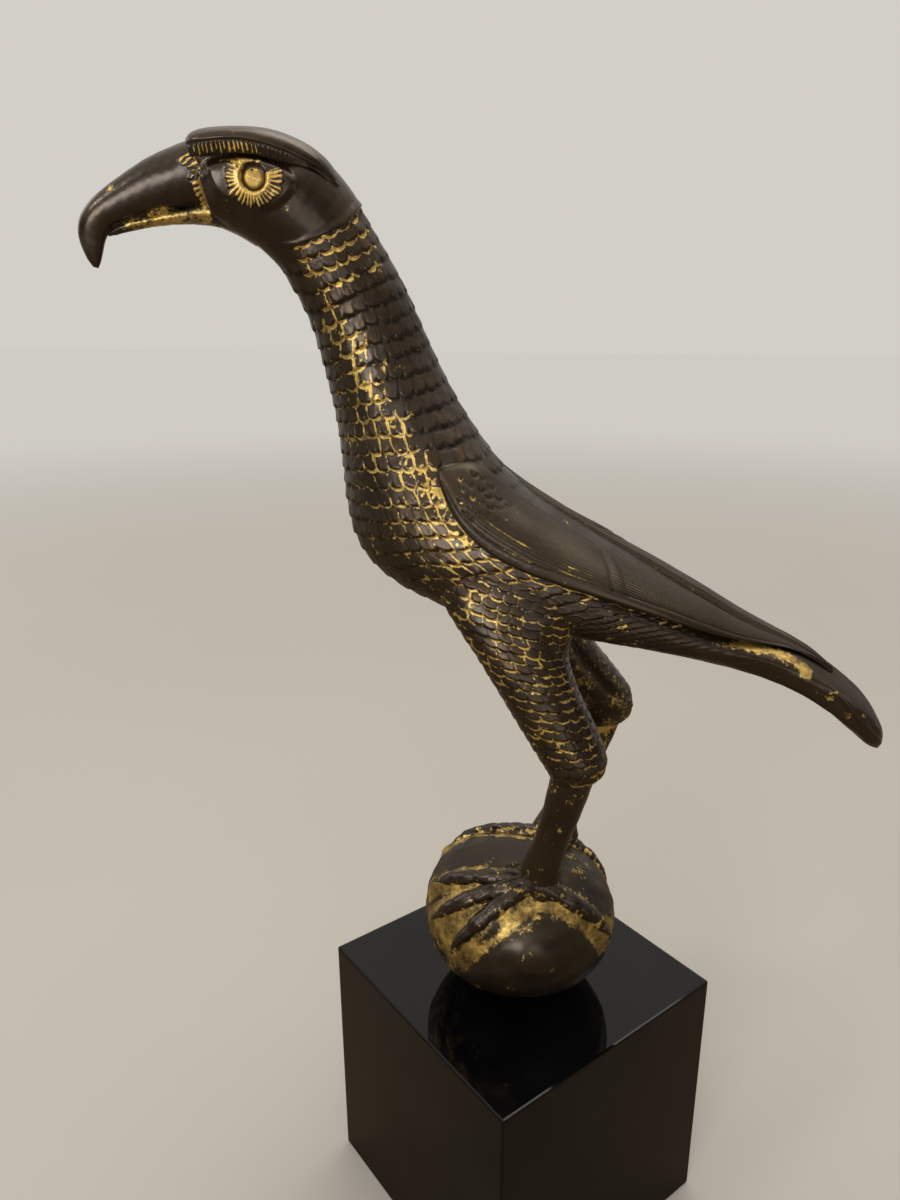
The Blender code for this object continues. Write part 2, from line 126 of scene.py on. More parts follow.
TAIL = (
    (-64.0, 131.6, -86.0, 135.6, 14.4, 3.4),
    (-79.4, 127.7, -92.4, 131.6, 14.2, 4.0),
    (-91.7, 121.7, -98.9, 126.9, 13.8, 4.6),
    (-100.6, 114.9, -105.9, 121.6, 13.0, 5.0),
    (-106.5, 109.7, -110.6, 116.6, 11.0, 4.6),
    (-110.7, 106.4, -112.8, 111.6, 7.8, 3.6),
    (-112.4, 105.7, -113.0, 108.1, 3.4, 2.6),
)
BIRD = np.array(BEAK + HEAD + BODY + TAIL, float)
COLLAR = len(BEAK) + len(HEAD)
BELLY = COLLAR + 11
TAIL_START = COLLAR + len(BODY) - 1
print("stations:", len(BIRD), "collar", COLLAR, "belly", BELLY, "tail", TAIL_START)

# %% [markdown]
# ## Curves and skins
#
# Listed rows have small bumps that a glossy bronze would show, so each curve is averaged over a short
# reach. A skin is then read at a grid of row numbers and turning angles. Angle 0 is the under side and half a
# turn is the upper side; columns are spaced so that every arc between them is equally long, because the
# scales need that.

# %% Curves
FAIR_PLACES = 7


def through(rows, at):
    """Cubic through the rows: it passes row k and leaves it at half the step from row k-1 to row k+1."""
    rows = np.asarray(rows, float)
    slopes = np.gradient(rows, axis=0)
    low = np.clip(at.astype(int), 0, len(rows) - 2)
    t = (at - low)[:, None]
    return ((2 * t**3 - 3 * t**2 + 1) * rows[low] + (t**3 - 2 * t**2 + t) * slopes[low]
            + (3 * t**2 - 2 * t**3) * rows[low + 1] + (t**3 - t**2) * slopes[low + 1])


def faired(rows, at, reach=0.55):
    """The same cubic averaged over places up to reach rows away; the reach goes to nothing at both ends."""
    at = np.asarray(at, float)
    flat = np.clip(at.ravel(), 0, len(rows) - 1)
    room = reach * np.clip(np.minimum(flat, len(rows) - 1 - flat), 0.0, 1.0)
    mean = sum(through(rows, flat + room * share) for share in np.linspace(-1, 1, FAIR_PLACES)) / FAIR_PLACES
    return mean.reshape(*at.shape, -1)


def ease(low, high, value):
    """0 below low and 1 above high, with 3t^2 - 2t^3 between."""
    t = np.clip((value - low) / (high - low), 0.0, 1.0)
    return t * t * (3 - 2 * t)


def bell(distance, width):
    """exp(-(distance / width)^2)."""
    return np.exp(-(distance / width) ** 2)


def signed_power(value, power):
    """The size of a number raised to a power, with its sign kept."""
    return np.sign(value) * np.abs(value) ** power


print("half width of the bird at its collar:", faired(BIRD, COLLAR).ravel()[4].round(1), "mm")

# %% Skins
FINE_STEPS = 2400
STEPS_PER_COLUMN = 6


def skin(table, at, turn):
    """Superellipse across each chord: half chord times cos(turn)^(2/k), half width times sin(turn)^(2/k)."""
    read = faired(table, at)
    under, upper, power = read[..., 0:2], read[..., 2:4], 2 / read[..., 5]
    chord = (under + upper) / 2 + (under - upper) / 2 * signed_power(np.cos(turn), power)[..., None]
    return np.stack([chord[..., 0], read[..., 4] * signed_power(np.sin(turn), power), chord[..., 1]], axis=-1)


def chord_share(table, at, turn):
    """How far up its chord a place lies, 0 on the under side and 1 on top: (1 - cos(turn)^(2/k)) / 2."""
    return (1 - signed_power(np.cos(turn), 2 / faired(table, at)[:, 5][:, None])) / 2


def even_turns(table, at, columns):
    """For each row, the turning angles that cut its ring into equal arcs."""
    fine = np.linspace(0.0, FULL_TURN, STEPS_PER_COLUMN * columns + 1)
    rings = skin(table, at[:, None], fine[None])
    run = np.cumsum(np.linalg.norm(np.diff(rings, axis=1), axis=2), axis=1)
    run = np.concatenate([np.zeros((len(at), 1)), run], axis=1)
    share = np.arange(columns) / columns
    return np.stack([np.interp(share, row / row[-1], fine) for row in run])


def even_rows(table, first, last, count):
    """Row numbers from first to last that are evenly spaced along the middle of the chords."""
    fine = np.linspace(first, last, FINE_STEPS)
    read = faired(table, fine)
    middle = (read[:, 0:2] + read[:, 2:4]) / 2
    run = np.concatenate([[0.0], np.cumsum(np.linalg.norm(np.diff(middle, axis=0), axis=1))])
    return np.interp(np.linspace(0.0, run[-1], count), run, fine)


def outward(points, ring=True):
    """Unit normals from the cross product of the differences down the rows and round the columns."""
    down = np.gradient(points, axis=0)
    if ring:
        around = np.roll(points, -1, axis=1) - np.roll(points, 1, axis=1)
    else:
        around = np.gradient(points, axis=1)
    normal = np.cross(around, down)
    normal /= np.linalg.norm(normal, axis=-1, keepdims=True) + 1e-12
    away = points - points.mean(axis=1, keepdims=True)
    return normal * np.sign((normal * away).sum())


def side_run(points):
    """Length round each ring, counted from the middle of the side it is on, the same way on both sides."""
    columns = points.shape[1]
    step = np.linalg.norm(np.roll(points, -1, axis=1) - points, axis=-1)
    run = np.concatenate([np.zeros((len(points), 1)), np.cumsum(step, axis=1)[:, :-1]], axis=1)
    right = run - run[:, columns // 4][:, None]
    left = run[:, 3 * columns // 4][:, None] - run
    return np.where(np.arange(columns)[None] < columns // 2, right, left)


def side_view(points):
    """Forward and height of each point, without how far out it lies."""
    return points[..., [0, 2]]


body_rows = even_rows(BIRD, 0, len(BIRD) - 1, 3)
print("the middle of the bird's length is at row", body_rows[1].round(1))

# %% [markdown]
# ## Measures on a surface
#
# The chasing follows lines that run over the head and wing. Distances to them are taken in the side view,
# forward and up, so that both sides of the bird get the same work. Irregular hand work could come from an
# image of noise. Here it is a sum of a few sine waves, which is smooth, has no grid and is the same on every
# run.

# %% Distance to lines and outlines
def to_line(points, line, smooth=24):
    """Distance to a curve through the points, share of its length at the nearest place, and side (+ left)."""
    rows = np.asarray(line, float)
    line = through(rows, np.linspace(0, len(rows) - 1, smooth))
    best = np.full(points.shape[:-1], 1e9)
    share = np.zeros(points.shape[:-1])
    side = np.zeros(points.shape[:-1])
    for k in range(len(line) - 1):
        run = line[k + 1] - line[k]
        away = points - line[k]
        t = np.clip(away @ run / (run @ run), 0, 1)
        far = np.linalg.norm(away - t[..., None] * run, axis=-1)
        near = far < best
        best = np.where(near, far, best)
        share = np.where(near, (k + t) / (len(line) - 1), share)
        side = np.where(near, run[0] * away[..., 1] - run[1] * away[..., 0], side)
    return best, share, np.sign(side)


def inside(points, outline, smooth=60):
    """Distance inside (+) or outside (-) a closed outline: its edges' distance, signed by an even-odd count."""
    rows = np.asarray(outline, float)
    closed = np.concatenate([rows, rows[:1]])
    loop = through(closed, np.linspace(0, len(closed) - 1, smooth))
    far = to_line(points, closed, smooth)[0]
    within = np.zeros(points.shape[:-1], bool)
    for (x0, y0), (x1, y1) in zip(loop[:-1], loop[1:]):
        if y0 != y1:
            crosses = (y0 > points[..., 1]) != (y1 > points[..., 1])
            within ^= crosses & (points[..., 0] < x0 + (points[..., 1] - y0) * (x1 - x0) / (y1 - y0))
    return np.where(within, far, -far)


def oval(seen, middle, half, width):
    """A soft oval spot: the bell of the distance to its middle, each way counted in its own half size."""
    return bell(np.linalg.norm((seen - np.array(middle)) / np.array(half), axis=-1), width)


eye_beside_beak = to_line(np.array([[82.7, 271.8]]), ((99.4, 280.5), (97.1, 271.6), (95.4, 265.0)))[0][0]
print(f"from the middle of the eye to where the beak begins: {eye_beside_beak:.1f} mm")

# %% Unevenness
WAVE_GAIN = 1.6


def uneven(points, size, seed, waves=7):
    """Mean of several sine waves of random direction and phase, about size long, from -1 to 1."""
    draw = np.random.default_rng(seed)
    total = 0.0
    for _ in range(waves):
        heading = draw.normal(size=points.shape[-1])
        heading *= draw.uniform(0.6, 1.4) / np.linalg.norm(heading)
        total = total + np.sin(points @ heading * FULL_TURN / size + draw.uniform(0, FULL_TURN))
    return total / waves * WAVE_GAIN


def chance(row, column):
    """A number from 0 to 1 for each cell: the fraction of a large sine of its row and column."""
    return np.abs(np.sin(row * 12.9898 + column * 78.233) * 43758.5453) % 1.0


wave_sample = uneven(BIRD[:, :3], 20.0, 1)
print(f"waves 20 mm long at the stations run from {wave_sample.min():.2f} to {wave_sample.max():.2f}")

# %% [markdown]
# ## Feathers as overlapping scales
#
# The caster's wax was cut in rows of scales. Each scale rises to its lower edge, which hides the start of the
# next row, and neighbouring rows are set half a scale apart. Hundreds of copies of one scale could be laid on
# the body, but they would leave gaps where it bends. Here one formula is read everywhere: on a plane of row
# and column numbers, the scale that owns a point is the first whose lower edge lies beyond it.

# %% Scales
SCALE_DROP, SCALE_LEAN, LEAN_STEP = 0.24, 0.22, 2.4
SCALE_START = 0.1


def lower_edge(row, column):
    """Row r ends at r + 1 + drop (1/2 - |2x|^3), x in -1/2 to 1/2 across a scale; a row leans by a sine."""
    x = column - 0.5 * (row % 2) - SCALE_LEAN * np.sin(LEAN_STEP * row)
    cell = np.round(x)
    return row + 1 + SCALE_DROP * (0.5 - np.abs(2 * (x - cell)) ** 3), x - cell, cell


def scales(row, column, row_size, column_size, edge=0.8, side=0.45):
    """Height 0 to 1 and a number per scale: it rises along its length and falls off near its own outline."""
    base = np.floor(row)
    ends = [lower_edge(base + shift, column) for shift in (-1, 0, 1)]
    first = row < ends[0][0]
    second = ~first & (row < ends[1][0])

    def own(k):
        """What lower_edge gives as number k, taken from the scale that owns each point."""
        return np.where(first, ends[0][k], np.where(second, ends[1][k], ends[2][k]))

    owner = np.where(first, base - 1, np.where(second, base, base + 1))
    to_end = (own(0) - row) * row_size
    to_side = (0.5 - np.abs(own(1))) * column_size
    rise = SCALE_START + (1 - SCALE_START) * np.clip(1 - to_end / row_size, 0, 1)
    body = ease(0.0, edge, to_end) * (1 - side + side * ease(0.0, edge, to_side))
    return rise * body, chance(owner, own(2))


print(f"a row ends {SCALE_DROP:.2f} of its length later in the middle of a scale than between two")

# %% [markdown]
# ## Meshes
#
# A skin becomes a mesh in whole arrays: quads between rows, a fan of triangles to a middle point at each end.
# The faces are turned outward by the sign of the enclosed volume. The finish could be painted on images, but
# each piece carries what it needs as numbers at its points, which need no unwrapping: how deep a groove is,
# how much gold a region holds, gold left on open metal, wear together with painted highlights, and a number for
# each feather. Rows and columns of scales, and the count of drawn lines, go along as smooth numbers, so the
# finish can draw each line as sharp as the chisel did.

# %% Faces of a closed grid
def closed_faces(points, rows, columns):
    """Quads between the rings and a fan over each end, turned outward by the sign of the volume."""
    corner = np.arange(rows * columns).reshape(rows, columns)
    beside = np.roll(corner, -1, axis=1)
    quads = np.stack([corner[:-1], beside[:-1], beside[1:], corner[1:]], axis=-1).reshape(-1, 4)
    first = np.stack([beside[0], corner[0], np.full(columns, rows * columns)], axis=-1)
    last = np.stack([corner[-1], beside[-1], np.full(columns, rows * columns + 1)], axis=-1)
    a, b, c, d = (points[quads[:, k]] for k in range(4))
    volume = (a * np.cross(b, c)).sum() + (a * np.cross(c, d)).sum()
    for fan in (points[first], points[last]):
        volume += (fan[:, 0] * np.cross(fan[:, 1], fan[:, 2])).sum()
    turned = slice(None, None, -1 if volume < 0 else 1)
    return quads[:, turned], np.concatenate([first, last])[:, turned], abs(volume) / 6


# %% Mesh maker
# The wear number holds real wear and also painted highlights: lighter bare bronze where light catches an edge.
FIELDS = ("groove", "gilt", "leaf", "worn", "feather", "aged")
NET_FIELDS = ("row", "column", "row_size", "column_size", "tooled", "ticks", "line", "lined")
SIDES = (("left", -1.0), ("right", 1.0))
skins = []


def make_skin(name, figure, **fields):
    """A closed mesh over a grid of ring points; the middle of each end ring is the mean of its points."""
    rows, columns = figure.shape[:2]
    ends = np.stack([figure[0].mean(axis=0), figure[-1].mean(axis=0)])
    points = place(np.concatenate([figure.reshape(-1, 3), ends]))
    quads, fans, volume = closed_faces(points, rows, columns)
    corners = np.concatenate([quads.ravel(), fans.ravel()]).astype(np.int32)
    sizes = np.concatenate([np.full(len(quads), 4), np.full(len(fans), 3)]).astype(np.int32)
    starts = np.concatenate([[0], np.cumsum(sizes)[:-1]]).astype(np.int32)
    mesh = bpy.data.meshes.new(name)
    mesh.vertices.add(len(points))
    mesh.vertices.foreach_set("co", points.ravel())
    mesh.loops.add(len(corners))
    mesh.loops.foreach_set("vertex_index", corners)
    mesh.polygons.add(len(sizes))
    mesh.polygons.foreach_set("loop_start", starts)
    mesh.update(calc_edges=True)
    mesh.validate()
    mesh.shade_smooth()
    for field in FIELDS + tuple(name for name in NET_FIELDS if name in fields):
        values = np.broadcast_to(np.asarray(fields.get(field, 0.0), float), (rows, columns))
        values = np.concatenate([values.ravel(), [values[0].mean(), values[-1].mean()]])
        mesh.attributes.new(field, "FLOAT", "POINT").data.foreach_set("value", values)
    piece = bpy.data.objects.new(name, mesh)
    bpy.context.scene.collection.objects.link(piece)
    skins.append(piece)
    print(f"{name}: {2 * len(quads) + len(fans)} triangles, {volume * 1e6:.1f} cm3")


def on_side(figure, sign):
    """A form made for the bird's right, mirrored to its left where the sign is -1."""
    return figure * np.array([1.0, sign, 1.0])


print("numbers at the points:", ", ".join(FIELDS + NET_FIELDS))

# %% [markdown]
# ## Head
#
# The hood is one smooth mass with a hooked beak. The eye sits in a lidded mound with wrinkles cut round it,
# under a hollow that the brow throws into shadow. A ridge with short cuts in front of it marks where the beak
# begins. The mound and the hollow could be lumps joined to the head, but as relief on one skin they run out
# softly, as in wax. All lines below are forward and height, in figure units.

# %% Lines of the head
EYE = np.array([82.7, 271.8])
HOLLOW = ((97.0, 275.6), (95.0, 277.2), (90.1, 278.4), (83.8, 278.8), (77.9, 277.9), (72.3, 275.8),
          (68.5, 273.0))
LIDS = ((95.8, 275.0), (94.3, 270.7), (92.8, 268.1), (89.7, 265.9), (84.9, 264.1), (79.1, 263.9), (73.9, 266.8),
        (71.3, 270.8), (73.5, 274.0), (78.0, 276.4), (84.0, 277.0), (90.0, 276.6))
CERE = ((99.4, 280.5), (99.0, 278.6), (97.8, 275.3), (97.1, 271.6), (96.2, 268.3), (95.4, 265.0))
CERE_BY_HEIGHT = ((264, 268.3, 271.6, 275.3, 278.6, 281), (95.2, 96.2, 97.1, 97.8, 99.0, 99.5))
MOUTH = ((123.5, 260.0), (118.0, 262.0), (112.7, 263.6), (108.4, 264.4), (104.3, 264.1), (100.1, 263.5),
         (97.6, 263.1), (94.6, 261.9), (91.8, 260.3))
MOUTH_BY_REACH = ((91.8, 94.6, 97.6, 104.3, 108.4, 112.7, 118, 123.5),
                  (260.3, 261.9, 263.1, 264.1, 264.4, 263.6, 262, 260))
HOOD_ENDS = ((0.0, 0.05, 0.13, 0.28, 0.47, 0.74, 1.0), (12.1, 12.3, 13.0, 13.6, 13.92, 14.2, 14.1))
print("points: hollow", len(HOLLOW), "lids", len(LIDS), "cere", len(CERE), "mouth", len(MOUTH))

# %% Shape of the head
BEAK_ROWS, HOOD_ROWS, HEAD_COLUMNS = 110, 151, 260
HOOD_START = 8.6

head_rows = np.concatenate([even_rows(BIRD, 0, HOOD_START, BEAK_ROWS),
                            even_rows(BIRD, HOOD_START, COLLAR, HOOD_ROWS)[1:]])
head_turns = even_turns(BIRD, head_rows, HEAD_COLUMNS)
head_share = chord_share(BIRD, head_rows, head_turns)
shrink = ease(HOOD_START, COLLAR, head_rows)[:, None] ** 1.5
head_at = head_rows[:, None] + (np.interp(head_share, *HOOD_ENDS) - COLLAR) * shrink
head = skin(BIRD, head_at, head_turns)
head_out = outward(head)
seen = side_view(head)
side_on = ease(0.15, 0.6, np.abs(head_out[..., 1]))
hem = np.linspace(0, 1, len(head_rows))[:, None]
print("head and beak, in mm:", np.ptp(head, axis=(0, 1)).round(1))

# %% [markdown]
# The cuts round the eye are radial: their angle about the eye is a whole number of waves, and they run from
# the dark ring out to the edge of the lids, longest in front. Each could be a groove drawn by hand, but one
# wave of the angle spaces them evenly and a little unevenness in it keeps them from looking machined.

# %% Round the eye
MOUND_HEIGHT = 1.1
WRINKLES, WRINKLE_HEIGHT = 36, 0.5
EYE_RING = 3.9
SOCKET_DEPTH = 1.5
BROW_DOTS = ((3.1, 4.2), (1.5, 4.5), (0.2, 4.2), (-1.5, 4.1), (4.6, 3.4))

on_face = side_on * (head_at > 6.5)
from_eye = np.linalg.norm(seen - EYE, axis=-1)
eye_angle = np.arctan2(seen[..., 1] - EYE[1], seen[..., 0] - EYE[0])
lids = inside(seen, LIDS)
mound = MOUND_HEIGHT * ease(-0.9, 1.6, lids) * on_face
wrinkle_waves = (0.5 + 0.5 * np.cos(eye_angle * WRINKLES + 1.7 * uneven(seen, 7.0, 3))) ** 0.8
wrinkle_waves = 1 - (1 - wrinkle_waves) * ease(3.7, 5.4, from_eye)
ahead_of_eye = np.cos(eye_angle) > 0
reach = 6.8 + np.where(ahead_of_eye, 0.5, 1.2) * np.cos(eye_angle) ** 2 + 0.9 * uneven(seen, 3.0, 4)
lift = np.where(ahead_of_eye, 0.80, 0.30)
below_brow = ease(lift + 0.22, lift - 0.12, np.sin(eye_angle))
wrinkled = ease(3.1, 3.4, from_eye) * ease(reach + 0.5, reach - 0.6, from_eye) * below_brow * on_face
socket = bell(from_eye, 4.9) * on_face * ease(EYE_RING, 3.1, from_eye)
brow_dots = sum(oval(seen - EYE, dot, (1.0, 1.0), 0.75) for dot in BROW_DOTS) * on_face
print(f"wrinkles reach {reach.min():.1f} to {reach.max():.1f} mm from the middle of the eye")

# %% Where the beak begins
CERE_LENGTH = 16.0
HATCH_STEP, HATCH_HEIGHT = 1.3, 0.3
RIDGE_HEIGHT = 0.25
FACE_HEIGHT = 0.7

cere, cere_share, _ = to_line(seen, CERE)
behind_cere = cere * np.where(seen[..., 0] < np.interp(seen[..., 1], *CERE_BY_HEIGHT), 1, -1)
hatch = FULL_TURN * (cere_share * CERE_LENGTH + 0.25 * behind_cere) / HATCH_STEP + uneven(seen, 4.0, 5)
hatch = 0.5 + 0.5 * np.cos(hatch)
hatch_reach = 3.6 + uneven(seen, 3.0, 12) + 1.4 * ease(0.45, 0.1, cere_share)
hatched = ease(-hatch_reach, 0.8 - hatch_reach, behind_cere) * ease(-0.2, -0.6, behind_cere)
hatched = hatched * ease(0.1, 0.2, cere_share) * ease(1.0, 0.93, cere_share) * side_on
ridge = bell(behind_cere + 0.1, 0.5) * side_on * ease(0.02, 0.12, cere_share) * (cere_share < 0.99)
face_proud = ease(-0.25, 0.35, behind_cere) * bell(np.maximum(behind_cere, 0), 7.0) * side_on
face_proud = face_proud * (cere_share < 0.995)
print(f"cuts in front of the ridge are {hatch_reach.min():.1f} to {hatch_reach.max():.1f} mm long")

# %% Relief of the head
HOOD_PROUD = 0.5
HOLLOW_DEPTH, HOLLOW_WIDTH = 2.0, 2.3
MOUTH_DEPTH = 0.7
HEM_LIP, HEM_TUCK = 0.30, 2.6

hollow, hollow_share, _ = to_line(seen, HOLLOW)
mouth, mouth_share, _ = to_line(seen, MOUTH)
off_throat = ease(0.04, 0.22, head_share)
relief = np.where(head_at > 8.3, HOOD_PROUD * ease(8.3, 9.5, head_at), 0.0)
relief = relief * (1 - (1 - off_throat) * ease(11.5, 13.0, head_at))
relief = relief + mound + WRINKLE_HEIGHT * wrinkled * wrinkle_waves - SOCKET_DEPTH * socket + 0.5 * brow_dots
relief = relief - HOLLOW_DEPTH * bell(hollow, HOLLOW_WIDTH) * ease(1.0, 0.62, hollow_share) * on_face
relief = relief + FACE_HEIGHT * face_proud + RIDGE_HEIGHT * ridge + HATCH_HEIGHT * hatched * hatch
relief = relief - MOUTH_DEPTH * bell(mouth, 0.7) * side_on
relief = relief + 0.10 * uneven(head, 14.0, 6) + 0.03 * uneven(head, 3.0, 7)
relief = relief + HEM_LIP * off_throat * ease(0.955, 0.985, hem) - HEM_TUCK * ease(0.985, 1.0, hem) ** 2
head = head + head_out * relief[..., None]
print(f"relief of the head: {relief.min():.1f} to {relief.max():.1f} mm")

# %% Gold and wear of the head
fleck = np.clip(uneven(head, 1.1, 8) * uneven(head, 1.9, 9) * 3, 0, 1)
cheek = oval(seen, (92.6, 270.6), (1.0, 1.4), 3.2) * on_face * fleck
brow_blob = oval(seen, (86.4, 276.3), (1.7, 0.8), 1.5) * on_face
smear = oval(seen, (91.0, 276.6), (2.2, 0.7), 1.2) * on_face
beak_spot = oval(seen, (122.9, 269.8), (1.3, 0.9), 1.3) * side_on
below_mouth = ease(0.5, -0.4, seen[..., 1] - np.interp(seen[..., 0], *MOUTH_BY_REACH))
beak_edge = np.maximum(0.8 * bell(mouth, 0.45), bell(mouth, 2.0) * below_mouth) * side_on
head_groove = np.clip(wrinkled * wrinkle_waves + ridge + hatched * hatch, 0, 1)
head_gilt = np.clip(1.2 * wrinkled + 1.1 * ridge + hatched, 0, 1)
head_leaf = np.clip(0.50 * beak_edge * ease(0.03, 0.2, mouth_share) + 0.75 * brow_blob + 0.5 * smear
                    + 0.75 * wrinkled * wrinkle_waves + 0.45 * cheek + 0.9 * brow_dots, 0, 1)
head_leaf = np.clip(head_leaf + 0.7 * beak_spot, 0, 1)
head_worn = np.clip(0.7 * bell(lids + 0.2, 0.9) * on_face + 0.4 * ease(0.96, 0.99, hem) + 0.7 * cheek, 0, 1)
make_skin("head", head, groove=head_groove, gilt=head_gilt, leaf=head_leaf, worn=head_worn, feather=0.2)

# %% [markdown]
# ## Cap
#
# A smooth cap lies over the skull. Its brow edge stands well out over the eyes and catches the light; under
# the edge a short wall is cut with upright strokes. Relief on the head could not overhang, so the cap is a
# skin of its own: an arch from brow to brow, with walls and a hidden inside.

# %% Arch of the cap
CAP = (
    (100.9, 281.0, 100.6, 283.4, 7.6),
    (99.6, 281.2, 99.0, 284.8, 9.6),
    (96.0, 281.4, 95.0, 285.8, 11.4),
    (89.0, 282.0, 85.0, 286.4, 12.9),
    (80.5, 281.1, 74.5, 285.3, 13.2),
    (71.5, 278.2, 64.3, 280.6, 12.6),
    (64.6, 274.2, 58.6, 274.8, 10.9),
    (60.4, 270.4, 55.4, 270.6, 8.8),
)
CAP_ROWS, CAP_ARCH_POINTS, WALL_POINTS, UNDER_POINTS = 260, 70, 18, 6
WALL_HEIGHT = 3.5
END_WALL_HEIGHT = 0.8

cap_at = np.linspace(0, len(CAP) - 1, CAP_ROWS)[:, None]
brow_x, brow_z, crown_x, crown_z, cap_half = (faired(CAP, cap_at[:, 0])[:, k][:, None] for k in range(5))
fade_wall = ease(0.0, 0.6, cap_at) * ease(6.0, 4.3, cap_at)
arch = np.linspace(-math.pi / 2, math.pi / 2, CAP_ARCH_POINTS)[None, :]
rise = np.cos(arch) ** 0.8
arch_top = np.stack([brow_x + (crown_x - brow_x) * rise, cap_half * np.sin(arch),
                     brow_z + (crown_z - brow_z) * rise], axis=-1)
print("arch of the cap, in mm:", np.ptp(arch_top, axis=(0, 1)).round(1))


# %% Walls and inside of the cap
def cap_wall(sign, down):
    """The wall below one brow edge: a share t down it leans in by t^2 + sin(pi t) / 4, less where it fades."""
    inward = down**2 + 0.25 * np.sin(math.pi * down)
    drop = WALL_HEIGHT * fade_wall + END_WALL_HEIGHT * (1 - fade_wall)
    out = cap_half - inward * fade_wall - 0.1
    return np.stack([brow_x - 0.4 * down, sign * out, brow_z - drop * down], axis=-1)


down = np.linspace(0, 1, WALL_POINTS)[None, 1:]
right_wall = cap_wall(1.0, down)
left_wall = cap_wall(-1.0, down)[:, ::-1]
across = np.linspace(1, -1, UNDER_POINTS)[None, 1:-1]
bottom = right_wall[:, -1:, :]
under = np.stack([
    bottom[..., 0] + 0 * across,
    bottom[..., 1] * across,
    bottom[..., 2] - (1 - across**2) * fade_wall,
], axis=-1)
cap = np.concatenate([arch_top, right_wall, under, left_wall], axis=1)
cap_out = outward(cap)
cap_out *= np.sign((cap_out * (cap - cap.mean(axis=(0, 1)))).sum())
print("points round each row of the cap:", cap.shape[1])

# %% [markdown]
# The strokes on the wall are evenly spaced along the brow. Gold is bright in those over the eye and stays out
# of those further back. Over the top run a few shallow lengthwise waves, and a fine hammered grain.

# %% Relief of the cap
STROKE_STEP, STROKE_HEIGHT = 1.2, 0.42
BEAD_HEIGHT = 0.15
REAR_SINK = 1.5

brow_run = np.cumsum(np.concatenate([[0], np.hypot(np.diff(brow_x[:, 0]), np.diff(brow_z[:, 0]))]))[:, None]
wall_share = np.zeros((1, cap.shape[1]))
wall_share[:, CAP_ARCH_POINTS:CAP_ARCH_POINTS + WALL_POINTS - 1] = down
wall_share[:, -(WALL_POINTS - 1):] = down[:, ::-1]
stroke = 0.5 + 0.5 * np.cos(FULL_TURN * brow_run / STROKE_STEP + 0.7 * np.sin(brow_run * 1.3))
stroke_end = wall_share + 0.12 * np.sin(brow_run * 3.1)
stroke = stroke ** 1.3 * ease(0.18, 0.34, wall_share) * ease(1.02, 0.8, stroke_end)
stroke = stroke * (wall_share > 0) * ease(0.35, 0.8, cap_at) * ease(5.2, 4.5, cap_at)
off_arch = np.zeros((1, cap.shape[1] - CAP_ARCH_POINTS))
brow_bead = np.concatenate([bell(np.abs(arch) - math.pi / 2, 0.12), off_arch], axis=1)
waves = np.concatenate([np.cos(arch * 26) * ease(1.3, 1.0, np.abs(arch)), off_arch], axis=1)
cap_relief = STROKE_HEIGHT * stroke + 0.05 * waves * ease(0.5, 2.0, cap_at) + 0.05 * uneven(cap, 9.0, 21)
cap_relief = cap_relief + 0.02 * uneven(cap, 2.2, 22) + BEAD_HEIGHT * brow_bead * fade_wall
cap = cap + cap_out * (cap_relief - REAR_SINK * ease(5.2, 7.0, cap_at))[..., None]
stroke_gold = ease(100.0, 98.0, brow_x) * ease(80.0, 82.0, brow_x)
make_skin("cap", cap, groove=stroke, gilt=stroke * (0.12 + 0.88 * stroke_gold),
          worn=0.5 * brow_bead + 0.25 * stroke, feather=0.42)

# %% [markdown]
# ## Lower beak and eyes
#
# The lower beak closes under the hooked one, and it kept much of its gold. It is a small loft of its own,
# because the mouth is a true gap. Each eye is a turned button, a domed disc that stands in a dark ring; its
# small pit is not cut but painted, a dark ungilded dot of painted shade and patina. A flattened ball would lack
# the button's flat face, so it is a profile turned about an axis out of the head.

# %% Lower beak
LOWER_BEAK = (
    (125.2, 257.4, 125.4, 258.6, 0.7, 2.0),
    (121.2, 258.2, 121.6, 261.0, 2.0, 2.0),
    (116.0, 259.5, 116.4, 262.5, 3.0, 2.0),
    (106.0, 260.8, 106.4, 264.4, 4.2, 2.1),
    (97.0, 260.6, 97.4, 267.0, 5.9, 2.1),
    (90.0, 258.9, 90.4, 267.0, 6.8, 2.0),
)
JAW_ROWS, JAW_COLUMNS = 100, 72

jaw_rows = even_rows(LOWER_BEAK, 0, len(LOWER_BEAK) - 1, JAW_ROWS)
jaw = skin(LOWER_BEAK, jaw_rows[:, None], even_turns(LOWER_BEAK, jaw_rows, JAW_COLUMNS))
jaw = jaw + outward(jaw) * (0.08 * uneven(jaw, 5.0, 31) + 0.05 * uneven(jaw, 1.8, 32))[..., None]
jaw_gold = ease(124.0, 118.0, jaw[..., 0]) * ease(92.0, 98.0, jaw[..., 0])
jaw_gold = jaw_gold * ease(256.0, 261.0, jaw[..., 2]) * ease(265.4, 263.4, jaw[..., 2])
make_skin("lower_beak", jaw, groove=0.3, gilt=0.4, leaf=0.56 * jaw_gold, worn=0.3, feather=0.3, aged=0.3)

# %% Eyes
EYE_PROFILE = ((0.0, 1.98), (0.35, 1.98), (0.7, 1.96), (1.4, 1.92), (2.0, 1.85), (2.5, 1.62), (2.85, 0.95),
               (2.98, 0.0), (3.0, -1.5))
EYE_OUT = 11.9
EYE_RINGS, EYE_COLUMNS = 56, 72
PAINTED_PIT, PAINTED_PIT_WIDTH = (0.3, 2.0), 0.30

